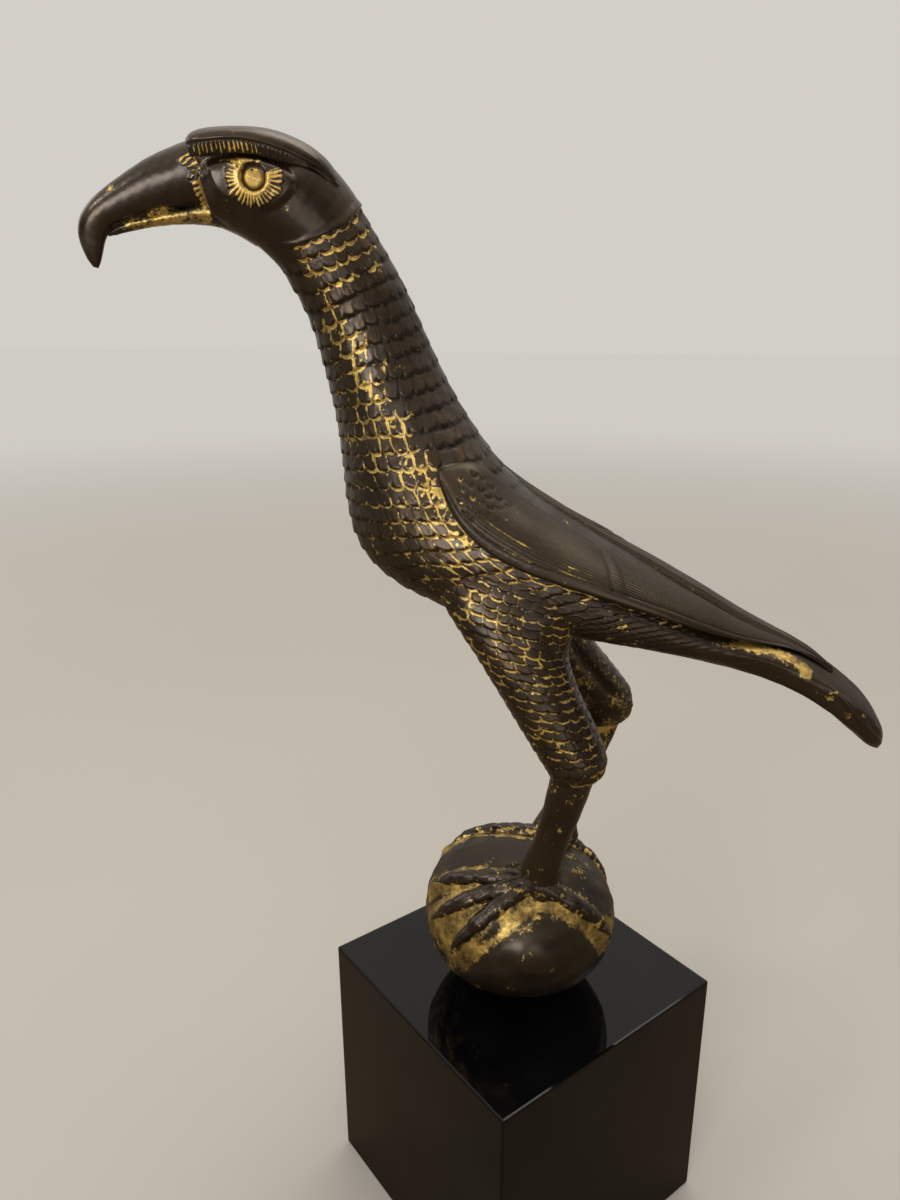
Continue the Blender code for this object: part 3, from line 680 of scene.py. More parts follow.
eye_curve = faired(EYE_PROFILE, np.linspace(0, len(EYE_PROFILE) - 1, EYE_RINGS), 0.4)
radius, height = eye_curve[1:, :1], eye_curve[1:, 1:]
eye_turn = (np.arange(EYE_COLUMNS) * FULL_TURN / EYE_COLUMNS)[None, :]
eye_x, eye_z = radius * np.cos(eye_turn), radius * np.sin(eye_turn)
# The pit is not cut in the mesh: its dark ungilded dot is painted shade and patina.
painted_pit = bell(np.hypot(eye_x - PAINTED_PIT[0], eye_z - PAINTED_PIT[1]), PAINTED_PIT_WIDTH)
ring = 0.35 * bell(np.hypot(eye_x + 0.2, (eye_z - 0.1) * 2.0), 0.5)
eye = np.stack([EYE[0] + eye_x, EYE_OUT + height + 0 * eye_turn, EYE[1] + eye_z], axis=-1)
for tag, sign in SIDES:
    make_skin("eye_" + tag, on_side(eye, sign), groove=painted_pit,
              leaf=np.clip(ease(3.0, 2.8, radius) - painted_pit - ring, 0, 1), feather=0.2)

# %% [markdown]
# ## Neck and breast
#
# Below the hood the neck and breast are rows of scales that tilt with the chords, like rings strung on a bent
# neck. The relief could be a bump in the finish alone, but the real scales are deep enough to cut the light
# at the outline, so they are real relief, on a grid with eight points or more across each scale.

# %% Shape of the neck and breast
NECK_ROWS, NECK_COLUMNS = 280, 350
NECK_START = 13.0
FEATHER_ROWS = 25

neck_rows = even_rows(BIRD, NECK_START, BELLY + 0.3, NECK_ROWS)
neck_turns = even_turns(BIRD, neck_rows, NECK_COLUMNS)
neck_share = chord_share(BIRD, neck_rows, neck_turns)
neck_shift = (np.interp(neck_share, *HOOD_ENDS) - COLLAR) * ease(16.5, NECK_START, neck_rows)[:, None]
neck = skin(BIRD, neck_rows[:, None] + neck_shift, neck_turns)
neck_out = outward(neck)
neck_run = side_run(neck)
print("girth of neck and breast:", (2 * np.ptp(neck_run, axis=1)).min().round(), "to",
      (2 * np.ptp(neck_run, axis=1)).max().round(), "mm")

# %% Rows and columns of scales
SCALE_WIDTHS = ((13, 16, 19, 22, 25), (4.0, 4.0, 4.1, 4.5, 4.4))
ROW_GAPS = ((13, 15, 17, 25), (3.8, 4.3, 5.0, 5.2))
FIRST_ROW = 20

row_marks = even_rows(BIRD, COLLAR, BELLY, FEATHER_ROWS + 1)
row_number = np.interp(neck_rows, row_marks, np.arange(FEATHER_ROWS + 1))
row_number = np.where(neck_rows < COLLAR, (neck_rows - COLLAR) * 1.9, row_number)
row_number = np.where(neck_rows > BELLY, FEATHER_ROWS + (neck_rows - BELLY) * 2.4, row_number)
row_number = (row_number + 1.3 * (1 - np.exp(-np.maximum(row_number, 0) / 3.0)))[:, None]
narrow = np.interp(neck_rows, *SCALE_WIDTHS)[:, None]
row_gap = np.interp(neck_rows, *ROW_GAPS)[:, None]
neck_row = row_number + 0.16 * uneven(neck, 26.0, 41) + 0.07 * uneven(neck, 9.0, 42)
neck_row = neck_row + 0.04 * uneven(neck, 5.0, 49)
neck_column = neck_run / narrow + 0.22 * uneven(neck, 30.0, 43) + 0.08 * uneven(neck, 6.0, 50)
height, neck_feather = scales(neck_row, neck_column, row_gap, narrow, 0.8, 0.30)
print(f"scales of {narrow.min():.1f} to {narrow.max():.1f} mm in {row_number.max():.0f} rows")

# %% Relief of the neck and breast
NECK_RELIEF = 0.66
BARB_STEP, BARB_HEIGHT = 1.5, 0.10

bare_throat = ease(0.30, 0.12, neck_share) * ease(2.6, 1.2, row_number + 6 * neck_share)
tooled = (1 - bare_throat) * ease(-0.4, 0.1, row_number)
mantle = ease(19.6, 21.6, neck_rows)[:, None] * ease(0.80, 0.94, neck_share)
barb_count = neck_run / BARB_STEP + 0.2 * uneven(neck, 12.0, 44)
neck_relief = NECK_RELIEF * (0.8 + 0.4 * neck_feather) * height * (1 - 0.35 * ease(0.8, 1.0, neck_share))
neck_relief = neck_relief * (1 - mantle) + mantle * BARB_HEIGHT * np.cos(FULL_TURN * barb_count)
neck_relief = (neck_relief * tooled + 0.06 * uneven(neck, 5.0, 45)
               + 0.03 * uneven(neck, 1.9, 46) + 0.10 * (1 - tooled))
neck = neck + neck_out * neck_relief[..., None]
print(f"relief of neck and breast: {neck_relief.min():.2f} to {neck_relief.max():.2f} mm")

# %% [markdown]
# The gold of the neck lies in a blotched band down each side, where two fields of scales meet. It starts near
# the throat and drifts back to the shoulder of the wing. In front of it the grooves hold thin broken lines,
# towards the nape almost nothing, and the first rings under the hood are drawn in clear gold. It could be a
# painted mask, but as a distance from the middle of the band it follows the chords when the pose changes.

# %% Places of the gold
BAND_ROWS = (14.2, 15.2, 16.2, 16.9, 17.4, 17.8, 18.2, 18.8, 19.8, 20.7, 22.0, 24.0, 26.0)
BAND_SHARES = (0.20, 0.24, 0.25, 0.31, 0.35, 0.42, 0.47, 0.53, 0.62, 0.60, 0.55, 0.50, 0.46)
BAND_WIDTHS = ((14, 16, 17.5, 19, 22, 25), (2.8, 3.4, 5.4, 7.2, 10.0, 10.0))
SHOULDER_LINE = ((28.5, 192.0), (24.0, 181.0), (15.0, 171.5))
WING_EDGE = ((27.0, 192.0), (22.6, 183.0), (17.2, 175.2), (8.0, 167.6), (-4.6, 162.2), (-19.6, 157.8),
             (-33.0, 153.8), (-50.0, 148.0), (-63.4, 143.3), (-77.2, 139.4), (-86.8, 136.2))


def near_wing(points):
    """How close the wing's lower edge is: a bell, 16 mm wide at the shoulder and 4 mm past mid body."""
    far, share, _ = to_line(side_view(points), WING_EDGE)
    return bell(far, 4.0 + 12.0 * ease(-14.0, 14.0, points[..., 0])) * ease(1.0, 0.75, share)


chord = faired(BIRD, neck_rows)
chord = np.hypot(chord[:, 0] - chord[:, 2], chord[:, 1] - chord[:, 3])[:, None]
behind_band = (neck_share - np.interp(neck_rows, BAND_ROWS, BAND_SHARES)[:, None]) * chord
band_width = np.interp(neck_rows, *BAND_WIDTHS)[:, None]
upper = ease(23.0, 20.5, neck_rows)[:, None]
lower_neck = ease(16.4, 18.2, neck_rows)[:, None]
band = bell(behind_band, band_width) * upper
breast_net = lower_neck * bell(np.minimum(behind_band, 0), 16.0)
facing = ease(0.1, 0.6, np.abs(neck_out[..., 1]))
in_front = ease(1.0, -3.0, behind_band) * (0.28 + 0.10 * lower_neck + 0.54 * breast_net) * facing
rear = ease(-1.0, 2.0, behind_band) * bell(np.maximum(behind_band, 0), 5.0) * 0.3 * lower_neck * upper
first_rings = ease(4.4, 2.6, row_number)
rings = first_rings * ease(0.12, 0.24, neck_share) * ease(1.0, 0.85, neck_share)
beside = near_wing(neck) * (1 - ease(186.0, 192.0, neck[..., 2]) * ease(0.0, 4.0, behind_band))
print(f"the gold band is {band_width.min():.1f} to {band_width.max():.1f} mm wide to each side of its middle")

# %% Gold of the neck and breast
neck_gilt = np.maximum.reduce([1.1 * band, in_front, rear, 0.80 * rings, beside])
neck_gilt = np.clip(neck_gilt + 0.16 * uneven(neck, 12.0, 47), 0, 1) * (1 - 0.9 * mantle)
neck_ticks = np.clip(0.6 + 0.4 * np.maximum.reduce([band, beside, breast_net]) - 0.35 * first_rings, 0, 1)
blotch = ease(-0.15, 0.5, 0.5 * uneven(neck, 6.0, 48) + 0.8 * uneven(neck, 2.4, 53))
shoulder_gold = bell(to_line(side_view(neck), SHOULDER_LINE)[0], 2.6)
neck_leaf = np.clip(0.48 * bell(behind_band, 0.7 * band_width) * blotch * upper + 0.22 * beside * blotch
                    + 0.36 * shoulder_gold * blotch, 0, 1) * tooled
edge_wear = ease(0.5, 0.9, height) * (0.5 + 0.5 * neck_feather)
neck_aged = np.clip(0.15 + 0.6 * ease(2.0, -8.0, behind_band) * (1 - beside), 0, 1)
make_skin("neck_and_breast", neck, gilt=neck_gilt, leaf=neck_leaf, worn=edge_wear * tooled * (1 - mantle),
          feather=neck_feather, aged=neck_aged, row=neck_row + FIRST_ROW, column=neck_column, row_size=row_gap,
          column_size=narrow, tooled=tooled * (1 - mantle), ticks=neck_ticks, line=barb_count, lined=mantle)

# %% [markdown]
# ## Belly and tail
#
# Under the tail the scales shrink and fade into smooth metal. The tail is a flat bar with a crease along each
# side, fine lines on top and a rounded end. Both read the same loft as the neck, so they meet without a step;
# the crease could be an edge of the mesh, but relief along a line lets it fade at both ends.

# %% Gold at the root of the tail
TAIL_GOLD = ((-53.0, 141.8), (-63.5, 141.0), (-71.6, 140.4), (-78.4, 138.8), (-82.4, 137.2), (-85.6, 134.6),
             (-87.2, 132.6))


def tail_patch(points, normals):
    """Gold left along a line on each flank: the bell of the distance to the line, thinner towards its front."""
    far, share, _ = to_line(side_view(points), TAIL_GOLD)
    width = 1.0 + 1.1 * ease(0.1, 0.5, share)
    return 0.85 * bell(far, width) * ease(0.02, 0.2, share) * ease(0.04, 0.25, np.abs(normals[..., 1]))


print("the gold at the tail's root is", round(TAIL_GOLD[0][0] - TAIL_GOLD[-1][0], 1), "mm long")

# %% Belly
BELLY_ROWS, BELLY_COLUMNS = 120, 240
BELLY_SCALE_LENGTH, BELLY_SCALE_WIDTH, BELLY_RELIEF = 2.6, 2.5, 0.38
ROWS_PER_STATION, BELLY_FIRST_ROW = 4.3, 45

belly_rows = even_rows(BIRD, BELLY - 0.2, TAIL_START + 1.2, BELLY_ROWS)
belly_turns = even_turns(BIRD, belly_rows, BELLY_COLUMNS)
belly = skin(BIRD, belly_rows[:, None], belly_turns)
belly_out = outward(belly)
belly_run = side_run(belly)
belly_share = chord_share(BIRD, belly_rows, belly_turns)
belly_row = (belly_rows[:, None] - BELLY) * ROWS_PER_STATION + BELLY_FIRST_ROW + 0.2 * uneven(belly, 14.0, 51)
belly_column = belly_run / BELLY_SCALE_WIDTH + 0.2 * uneven(belly, 18.0, 52)
height, belly_feather = scales(belly_row, belly_column, BELLY_SCALE_LENGTH, BELLY_SCALE_WIDTH, 0.6)
fading = ease(TAIL_START + 0.6, BELLY + 0.6, belly_rows)[:, None] * (1 - ease(0.78, 0.92, belly_share))
belly_line = belly_run / BARB_STEP + 0.16 * uneven(belly, 14.0, 53)
belly_lined = ease(0.8, 0.92, belly_share)
belly_relief = fading * BELLY_RELIEF * height + BARB_HEIGHT * np.cos(FULL_TURN * belly_line) * belly_lined
belly_relief = belly_relief + 0.06 * uneven(belly, 6.0, 54)
belly_relief = belly_relief - 0.25 * ease(0.93, 1.0, np.linspace(0, 1, BELLY_ROWS))[:, None]
belly = belly + belly_out * belly_relief[..., None]
belly_beside = near_wing(belly)
belly_leaf = 0.50 * belly_beside * ease(-58.0, -30.0, belly[..., 0]) * fading + tail_patch(belly, belly_out)
make_skin("belly", belly, gilt=np.maximum(0.30, belly_beside) * fading, leaf=np.clip(belly_leaf, 0, 1),
          worn=0.5 * height * fading, feather=belly_feather, aged=0.3, row=belly_row, column=belly_column,
          row_size=BELLY_SCALE_LENGTH, column_size=BELLY_SCALE_WIDTH, tooled=fading, ticks=0.6, line=belly_line,
          lined=belly_lined)

# %% Tail
TAIL_ROWS, TAIL_COLUMNS = 120, 200
TAIL_LINE_STEP, UNDER_WAVE_STEP = 1.3, 4.4
TAIL_CREASE = ((-84.0, 138.0), (-87.4, 135.6), (-92.2, 131.0), (-97.6, 126.4), (-101.6, 121.4), (-108.6, 113.6),
               (-111.6, 109.4))
CREASE_HEIGHT, CREASE_WIDTH = 0.7, 0.8

tail_rows = even_rows(BIRD, TAIL_START + 0.4, len(BIRD) - 1, TAIL_ROWS)
tail_turns = even_turns(BIRD, tail_rows, TAIL_COLUMNS)
tail = skin(BIRD, tail_rows[:, None], tail_turns)
tail_out = outward(tail)
tail_share = chord_share(BIRD, tail_rows, tail_turns)
top_face = ease(0.86, 0.96, tail_share)
under_face = ease(0.2, 0.06, tail_share)
tail_line = tail[..., 1] / TAIL_LINE_STEP + 0.08 * uneven(tail, 16.0, 61)
under_waves = np.cos(FULL_TURN * tail[..., 1] / UNDER_WAVE_STEP)
on_crease = bell(to_line(side_view(tail), TAIL_CREASE)[0], CREASE_WIDTH)
on_crease = on_crease * ease(0.35, 0.8, np.abs(tail_out[..., 1]))
tail_relief = 0.10 * np.cos(FULL_TURN * tail_line) * top_face + 0.16 * under_waves * under_face
tail_relief = tail_relief + 0.06 * uneven(tail, 9.0, 62) + 0.02 * uneven(tail, 2.0, 63)
tail_relief = tail_relief + CREASE_HEIGHT * on_crease
tail = tail + tail_out * tail_relief[..., None]
# Along the crease the wear number paints a lighter line, a painted highlight where light catches the crease.
make_skin("tail", tail, gilt=0.12, leaf=tail_patch(tail, tail_out), feather=0.4, aged=0.2 + 0.8 * top_face,
          worn=np.clip(0.3 * top_face + 0.6 * on_crease, 0, 1), line=tail_line, lined=0.8 * top_face)

# %% [markdown]
# ## Wings
#
# Each folded wing is one arched shell from its ridge to its lower edge. A smooth rounded rim runs round the
# shoulder and along the edge. The shoulder has small crescents, the coverts have lengthwise grooves, and past
# the curved end of the coverts the flight feathers close up in fine lines towards the tip. Feathers could be
# made one by one, but the real wing is one sheet of wax cut with a graver, so one sheet with cuts looks more
# like it.

# %% Rows of the wing
WING_LOWER = (
    (26.4, 19.4, 191.0),
    (23.0, 23.2, 183.2),
    (17.2, 25.8, 175.2),
    (8.0, 27.2, 167.6),
    (-4.6, 27.8, 162.2),
    (-19.6, 27.4, 157.8),
    (-33.0, 25.8, 153.8),
    (-50.0, 22.6, 148.0),
    (-63.4, 18.0, 143.3),
    (-77.2, 9.4, 139.4),
    (-86.8, 5.8, 136.2),
    (-96.6, 2.4, 129.8),
)
WING_UPPER = (
    (27.2, 17.6, 192.0),
    (23.4, 16.0, 192.8),
    (15.6, 12.4, 190.8),
    (5.6, 9.0, 184.4),
    (-8.2, 7.4, 176.2),
    (-22.0, 6.8, 168.6),
    (-36.0, 6.2, 161.6),
    (-54.0, 5.4, 152.4),
    (-68.0, 4.0, 144.6),
    (-80.0, 2.6, 139.6),
    (-88.0, 1.4, 136.0),
    (-96.8, 0.8, 129.8),
)
WING_ROWS, WING_COLUMNS = 260, 158
WING_SQUARENESS = 2.3
WING_DEPTH = 8.0
EDGE_ROUND = 1.6

along = np.linspace(0, 1, WING_ROWS)[:, None]
wing_low = faired(WING_LOWER, along[:, 0] * (len(WING_LOWER) - 1))[:, None, :]
wing_up = faired(WING_UPPER, along[:, 0] * (len(WING_UPPER) - 1))[:, None, :]
sweep = np.linspace(0, math.pi / 2, WING_COLUMNS)[None, :]
wing_out = np.sin(sweep) ** (2 / WING_SQUARENESS)
wing_rise = np.cos(sweep) ** (2 / WING_SQUARENESS)
wing = np.stack([
    wing_low[..., 0] + (wing_up[..., 0] - wing_low[..., 0]) * wing_rise,
    wing_up[..., 1] + (wing_low[..., 1] - wing_up[..., 1]) * wing_out,
    wing_low[..., 2] + (wing_up[..., 2] - wing_low[..., 2]) * wing_rise,
], axis=-1)

# %% Measures over the wing
wing_normal = outward(wing, ring=False)
wing_normal *= np.sign(wing_normal[..., 1].sum())
step_across = np.linalg.norm(np.diff(wing, axis=1), axis=-1)
from_ridge = np.concatenate([np.zeros((WING_ROWS, 1)), np.cumsum(step_across, axis=1)], axis=1)
wing_width = from_ridge[:, -1:]
from_edge = wing_width - from_ridge
q = sweep / (math.pi / 2)
step_along = np.linalg.norm(np.diff(wing, axis=0), axis=-1).mean(axis=1)
wing_run = np.concatenate([[0], np.cumsum(step_along)])[:, None] + 0 * q
wing_length = wing_run[-1, 0]
rim_away = np.minimum(from_edge, from_ridge + 14 * ease(0.10, 0.24, along))
print(f"wing: {wing_length:.0f} mm long, {wing_width.max():.0f} mm across")

# %% Rim, boss and grooves of the wing
COVERT_END = ((0, 0.14, 0.45, 0.74, 1.0), (0.425, 0.462, 0.488, 0.503, 0.520))
COVERT_COUNT = ((0, 0.3, 0.6, 1.0), (0.0, 12.0, 20.4, 29.0))
FLIGHT_COUNT = ((0, 0.5, 0.75, 1.0), (0.0, 12.0, 17.0, 20.0))
FLIGHT_DEPTH = ((0, 0.45, 0.6, 1.0), (0.12, 0.13, 0.17, 0.14))

on_rim = ease(3.9, 2.9, rim_away) * ease(1.0, 0.9, along)
rim_crease = bell(rim_away - 3.6, 0.45) * ease(0.96, 0.86, along)
boss = bell((q - 0.22) / 0.12, 1.0) * bell((along - 0.16) / 0.035, 1.0)
covert_end = np.interp(q, *COVERT_END)
coverts = ease(0.17, 0.25, along) * ease(covert_end + 0.003, covert_end - 0.004, along) * (1 - on_rim)
covert_count = np.interp(q, *COVERT_COUNT) + 0.12 * uneven(wing, 22.0, 71)
covert_wave = np.cos(FULL_TURN * covert_count)
covert_cut = ease(0.55, 1.0, covert_wave)
flights = ease(covert_end, covert_end + 0.02, along) * (1 - on_rim) * ease(1.0, 0.97, along)
flight_count = np.interp(q, *FLIGHT_COUNT) + 0.08 * uneven(wing, 30.0, 75)
flight_cut = ease(0.3, 1.0, np.cos(FULL_TURN * flight_count)) * ease(0.95, 0.75, q)
print("grooves: coverts", COVERT_COUNT[1][-1], "flight feathers", FLIGHT_COUNT[1][-1])

# %% [markdown]
# The crescents on the shoulder stand in a loose brick pattern, each mark half a ring of about a millimetre
# radius, open towards the nape. A formula could place them, but the real ones are few and uneven, so they are
# listed as shares of the wing's length and width. The front ones kept a little gold.

# %% Crescents and the end of the coverts
MARKS = ((0.145, 0.39), (0.163, 0.53), (0.201, 0.54), (0.165, 0.70), (0.226, 0.52), (0.188, 0.78),
         (0.208, 0.78), (0.226, 0.66), (0.251, 0.49), (0.241, 0.38), (0.218, 0.36), (0.180, 0.24),
         (0.263, 0.31), (0.182, 0.40), (0.246, 0.60), (0.205, 0.66), (0.272, 0.42), (0.205, 0.22),
         (0.285, 0.30), (0.236, 0.24))
GILT_MARKS, DEEP_MARKS = 8, 13
MARK_RADIUS, MARK_LINE = 1.15, 0.42

crescent = np.zeros_like(wing_run)
marks_gold = np.zeros_like(wing_run)
for count, (mark_along, mark_q) in enumerate(MARKS):
    row = int(round(mark_along * (WING_ROWS - 1)))
    column = int(round(mark_q * (WING_COLUMNS - 1)))
    away_along = wing_run - wing_run[row, column]
    away_up = from_edge - from_edge[row, column]
    far = np.hypot(away_along, away_up)
    facing_down = (0.54 * away_along - 0.84 * away_up) / (far + 1e-6)
    mark = bell(far - MARK_RADIUS, MARK_LINE) * ease(-0.1, 0.35, facing_down)
    crescent = np.maximum(crescent, mark * (1.0 if count < DEEP_MARKS else 0.55))
    if count < GILT_MARKS:
        marks_gold = np.maximum(marks_gold, mark)
end_line = (along - covert_end) * wing_length
covert_lip = ease(-14.0, -0.6, end_line) * ease(0.5, -0.1, end_line)
second_lip = 0.6 * ease(0.4, 3.4, end_line) * ease(4.4, 3.5, end_line)
between_lips = ease(covert_end - 0.004, covert_end + 0.006, along)
wing_line = covert_count + (flight_count - covert_count) * between_lips
print("crescents:", len(MARKS), "and with gold:", GILT_MARKS)

# %% Relief of the wing
RIM_HEIGHT, RIM_CREASE_DEPTH = 0.12, 0.14
BOSS_HEIGHT, SHOULDER_HEIGHT = 0.35, 2.0
COVERT_CUT_DEPTH, COVERT_WAVE_HEIGHT = 0.11, 0.03
LIP_HEIGHT = 0.42
MARK_DEPTH = 0.34

wing_relief = RIM_HEIGHT * on_rim - RIM_CREASE_DEPTH * rim_crease * ease(0.08, 0.2, along) + BOSS_HEIGHT * boss
wing_relief = wing_relief - COVERT_CUT_DEPTH * coverts * covert_cut + COVERT_WAVE_HEIGHT * coverts * covert_wave
wing_relief = wing_relief + LIP_HEIGHT * (covert_lip + second_lip) * (1 - on_rim) * ease(0.02, 0.10, q)
wing_relief = wing_relief - np.interp(q, *FLIGHT_DEPTH) * flights * flight_cut - MARK_DEPTH * crescent
wing_relief = wing_relief + 0.10 * uneven(wing, 20.0, 72) + 0.025 * uneven(wing, 3.0, 73)
edge_turn = 1 - np.sqrt(np.clip(1 - ease(EDGE_ROUND, 0, from_edge) ** 2, 0, 1))
wing_relief = wing_relief - 0.7 * EDGE_ROUND * edge_turn
shoulder = SHOULDER_HEIGHT * bell((along - 0.185) / 0.065, 1.0) * ease(0.5, 0.1, q)
print(f"relief of the wing: {wing_relief.min():.2f} to {wing_relief.max():.2f} mm")

# %% Inner side of the wing
EDGE_POINTS, INNER_POINTS, RIDGE_POINTS = 6, 3, 4
LEAST_OUT = 0.3

depth = WING_DEPTH * np.interp(along, (0.0, 0.12, 0.75, 1.0), (0.12, 1.0, 1.0, 0.15))
near_tip = np.interp(along, (0.55, 0.85), (0.0, 1.0))


def shares(first, last, count):
    """Even shares from first to last, laid out across a row of points."""
    return np.linspace(first, last, count)[None, :, None]


def whole_wing(relief):
    """The outer face raised along its normals, carried in under its lower edge and back to its ridge."""
    face = wing + wing_normal * relief[..., None]
    edge_in = face[:, -1] + depth * ((1 - near_tip) * np.array([[0.0, -1.0, 0.1]])
                                     + near_tip * np.array([[0.0, -0.7, -0.7]]))
    ridge_in = face[:, 0] + depth * np.array([[0.0, -0.5, -1.0]])
    inner = np.concatenate([
        face[:, -1:] + (edge_in[:, None] - face[:, -1:]) * shares(0.15, 1.0, EDGE_POINTS),
        edge_in[:, None] + (ridge_in - edge_in)[:, None] * shares(0.25, 0.75, INNER_POINTS),
        ridge_in[:, None] + (face[:, :1] - ridge_in[:, None]) * shares(0.0, 0.8, RIDGE_POINTS),
    ], axis=1)
    inner[..., 1] = np.maximum(inner[..., 1], LEAST_OUT)
    return np.concatenate([face, inner], axis=1)


def pad(field):
    """Numbers of the outer face carried on over the inner points, each row with its last number."""
    spare = EDGE_POINTS + INNER_POINTS + RIDGE_POINTS
    return np.concatenate([field, np.repeat(field[:, -1:], spare, 1)], axis=1)


print("points across a whole wing:", pad(wing_run).shape[1])


# %% Gold of the wing
def stroke_of_gold(start, end, q_start, q_end, width):
    """A thin gold line between two shares of the length; its share across runs evenly from start to end."""
    middle = np.interp(along, [start, end], [q_start, q_end])
    within = ease(start - 0.01, start + 0.01, along) * ease(end + 0.01, end - 0.01, along)
    return bell((q - middle) * wing_width, width) * within


gold_strokes = (stroke_of_gold(0.245, 0.355, 0.700, 0.706, 0.32)
                + stroke_of_gold(0.300, 0.362, 0.868, 0.856, 0.28)
                + 0.8 * stroke_of_gold(0.396, 0.466, 0.806, 0.800, 0.28)
                + 0.6 * stroke_of_gold(0.355, 0.47, 0.706, 0.70, 0.25))
marks_gold = marks_gold * (0.75 + 0.5 * uneven(wing, 5.0, 74))
edge_gold = bell(from_edge - 0.4, 0.7) * ease(0.3, 0.4, along) * ease(0.9, 0.8, along)
wing_finish = {
    "groove": np.clip(crescent + rim_crease, 0, 1),
    "gilt": np.clip(0.9 * gold_strokes + 0.9 * marks_gold, 0, 1),
    "leaf": np.clip(0.75 * gold_strokes + 0.6 * marks_gold + 0.22 * edge_gold, 0, 1),
    # The lighter line about 3.4 mm in from the lower edge is a painted highlight along the rim; the coverts'
    # lip is wear.
    "worn": np.clip(0.75 * bell(from_edge - 3.4, 0.8) * ease(0.75, 0.55, along) + 0.25 * covert_lip, 0, 1),
    "aged": 0.9 * (1 - 0.8 * on_rim),
    "line": wing_line,
    "lined": np.clip(coverts + 0.8 * flights * ease(0.97, 0.88, q), 0, 1),
}
for tag, sign in SIDES:
    hand_work = wing_relief + (shoulder if sign < 0 else 0.3 * shoulder)
    make_skin("wing_" + tag, on_side(whole_wing(hand_work), sign), feather=0.4,
              **{field: pad(values) for field, values in wing_finish.items()})

# %% [markdown]
# ## Thighs and shanks
#
# The thighs carry narrow rows of square-ended feathers down to a full trouser edge, and the gold sits mostly
# in the cross grooves. The shanks are smooth and round. The far leg is set back in a slight stride. Each leg
# could be modelled apart, but one leg, mirrored and bent back, keeps both alike as on the cast.

# %% Rows of the legs
THIGH = (
    (24.0, 168.0, -22.0, 150.0, 14.0, 11.0),
    (27.8, 160.2, -20.4, 146.0, 15.0, 12.2),
    (25.8, 152.4, -17.4, 141.4, 16.0, 13.0),
    (20.0, 144.0, -15.6, 136.2, 17.6, 12.8),
    (13.2, 135.0, -16.8, 129.8, 19.2, 12.2),
    (6.4, 125.0, -20.0, 122.2, 20.4, 11.6),
    (0.2, 115.0, -24.2, 114.4, 21.2, 11.0),
    (-6.0, 105.4, -28.0, 106.8, 21.8, 10.4),
    (-10.6, 98.2, -29.8, 101.0, 22.2, 9.8),
    (-12.6, 94.9, -28.8, 96.8, 22.4, 8.6),
    (-14.4, 93.6, -25.6, 94.6, 22.6, 6.2),
)
SHANK = (
    (-20.2, 22.4, 101.0, 7.0, 5.6),
    (-18.8, 22.0, 92.0, 7.0, 5.6),
    (-15.8, 20.8, 79.0, 6.2, 5.0),
    (-12.2, 19.4, 66.0, 6.0, 4.9),
    (-9.2, 18.4, 56.0, 6.7, 5.5),
    (-7.9, 17.8, 47.0, 9.4, 7.6),
)


def leg_on_side(figure, sign):
    """The near leg is mirrored to the left; the far one goes back, by 7 mm at the knee and 2 mm at the foot."""
    back = np.interp(-figure[..., 2], (-132.0, -108.0, -50.0), (0.0, 7.0, 2.0))
    return on_side(figure - (sign > 0) * back[..., None] * np.array([1.0, 0.0, 0.0]), sign)


print("the legs run from", THIGH[0][1], "down to", SHANK[-1][2], "mm above the stone's underside")

# %% Thighs
THIGH_SQUARENESS = 2.2
THIGH_ROWS, THIGH_COLUMNS = 195, 150
THIGH_SCALE_WIDTH, THIGH_RELIEF = 4.7, 0.44
THIGH_ROW_SIZES = ((0, 25, 45, 65, 80), (3.0, 3.1, 3.8, 3.3, 2.7))

thigh_table = np.array(THIGH, float)
sections = np.concatenate([thigh_table[:, [0, 1, 2, 3, 5]], np.full((len(THIGH), 1), THIGH_SQUARENESS)], axis=1)
thigh_rows = even_rows(sections, 0, len(THIGH) - 1, THIGH_ROWS)
thigh = skin(sections, thigh_rows[:, None], even_turns(sections, thigh_rows, THIGH_COLUMNS))
thigh_out = outward(thigh)
thigh_run = side_run(thigh)
middle = thigh.mean(axis=1)
thigh_length = np.concatenate([[0], np.cumsum(np.linalg.norm(np.diff(middle, axis=0), axis=1))])
row_size = np.interp(thigh_length, *THIGH_ROW_SIZES)[:, None]
thigh_number = np.concatenate([[0], np.cumsum(np.diff(thigh_length) / row_size[1:, 0])])[:, None]
thigh_row = thigh_number + 0.13 * uneven(thigh, 20.0, 81) + 0.08 * uneven(thigh, 6.0, 82) + FIRST_ROW
thigh_column = thigh_run / THIGH_SCALE_WIDTH + 0.22 * uneven(thigh, 24.0, 83) + 0.12 * uneven(thigh, 6.0, 90)
height, thigh_feather = scales(thigh_row, thigh_column, row_size, THIGH_SCALE_WIDTH, 0.7)
hem = ease(0.94, 1.0, np.linspace(0, 1, THIGH_ROWS))[:, None]
tooled = ease(-0.55, -0.15, thigh_out[..., 1])
thigh_relief = tooled * THIGH_RELIEF * (0.75 + 0.4 * thigh_feather) * height
thigh_relief = thigh_relief + 0.05 * uneven(thigh, 5.0, 84) + 0.03 * uneven(thigh, 1.9, 85)
thigh = thigh + thigh_out * (thigh_relief * (1 - hem))[..., None]
thigh[..., 1] += faired(THIGH, thigh_rows)[:, 4][:, None]
print(f"a thigh has {thigh_number.max():.0f} rows over {thigh_length[-1]:.0f} mm")

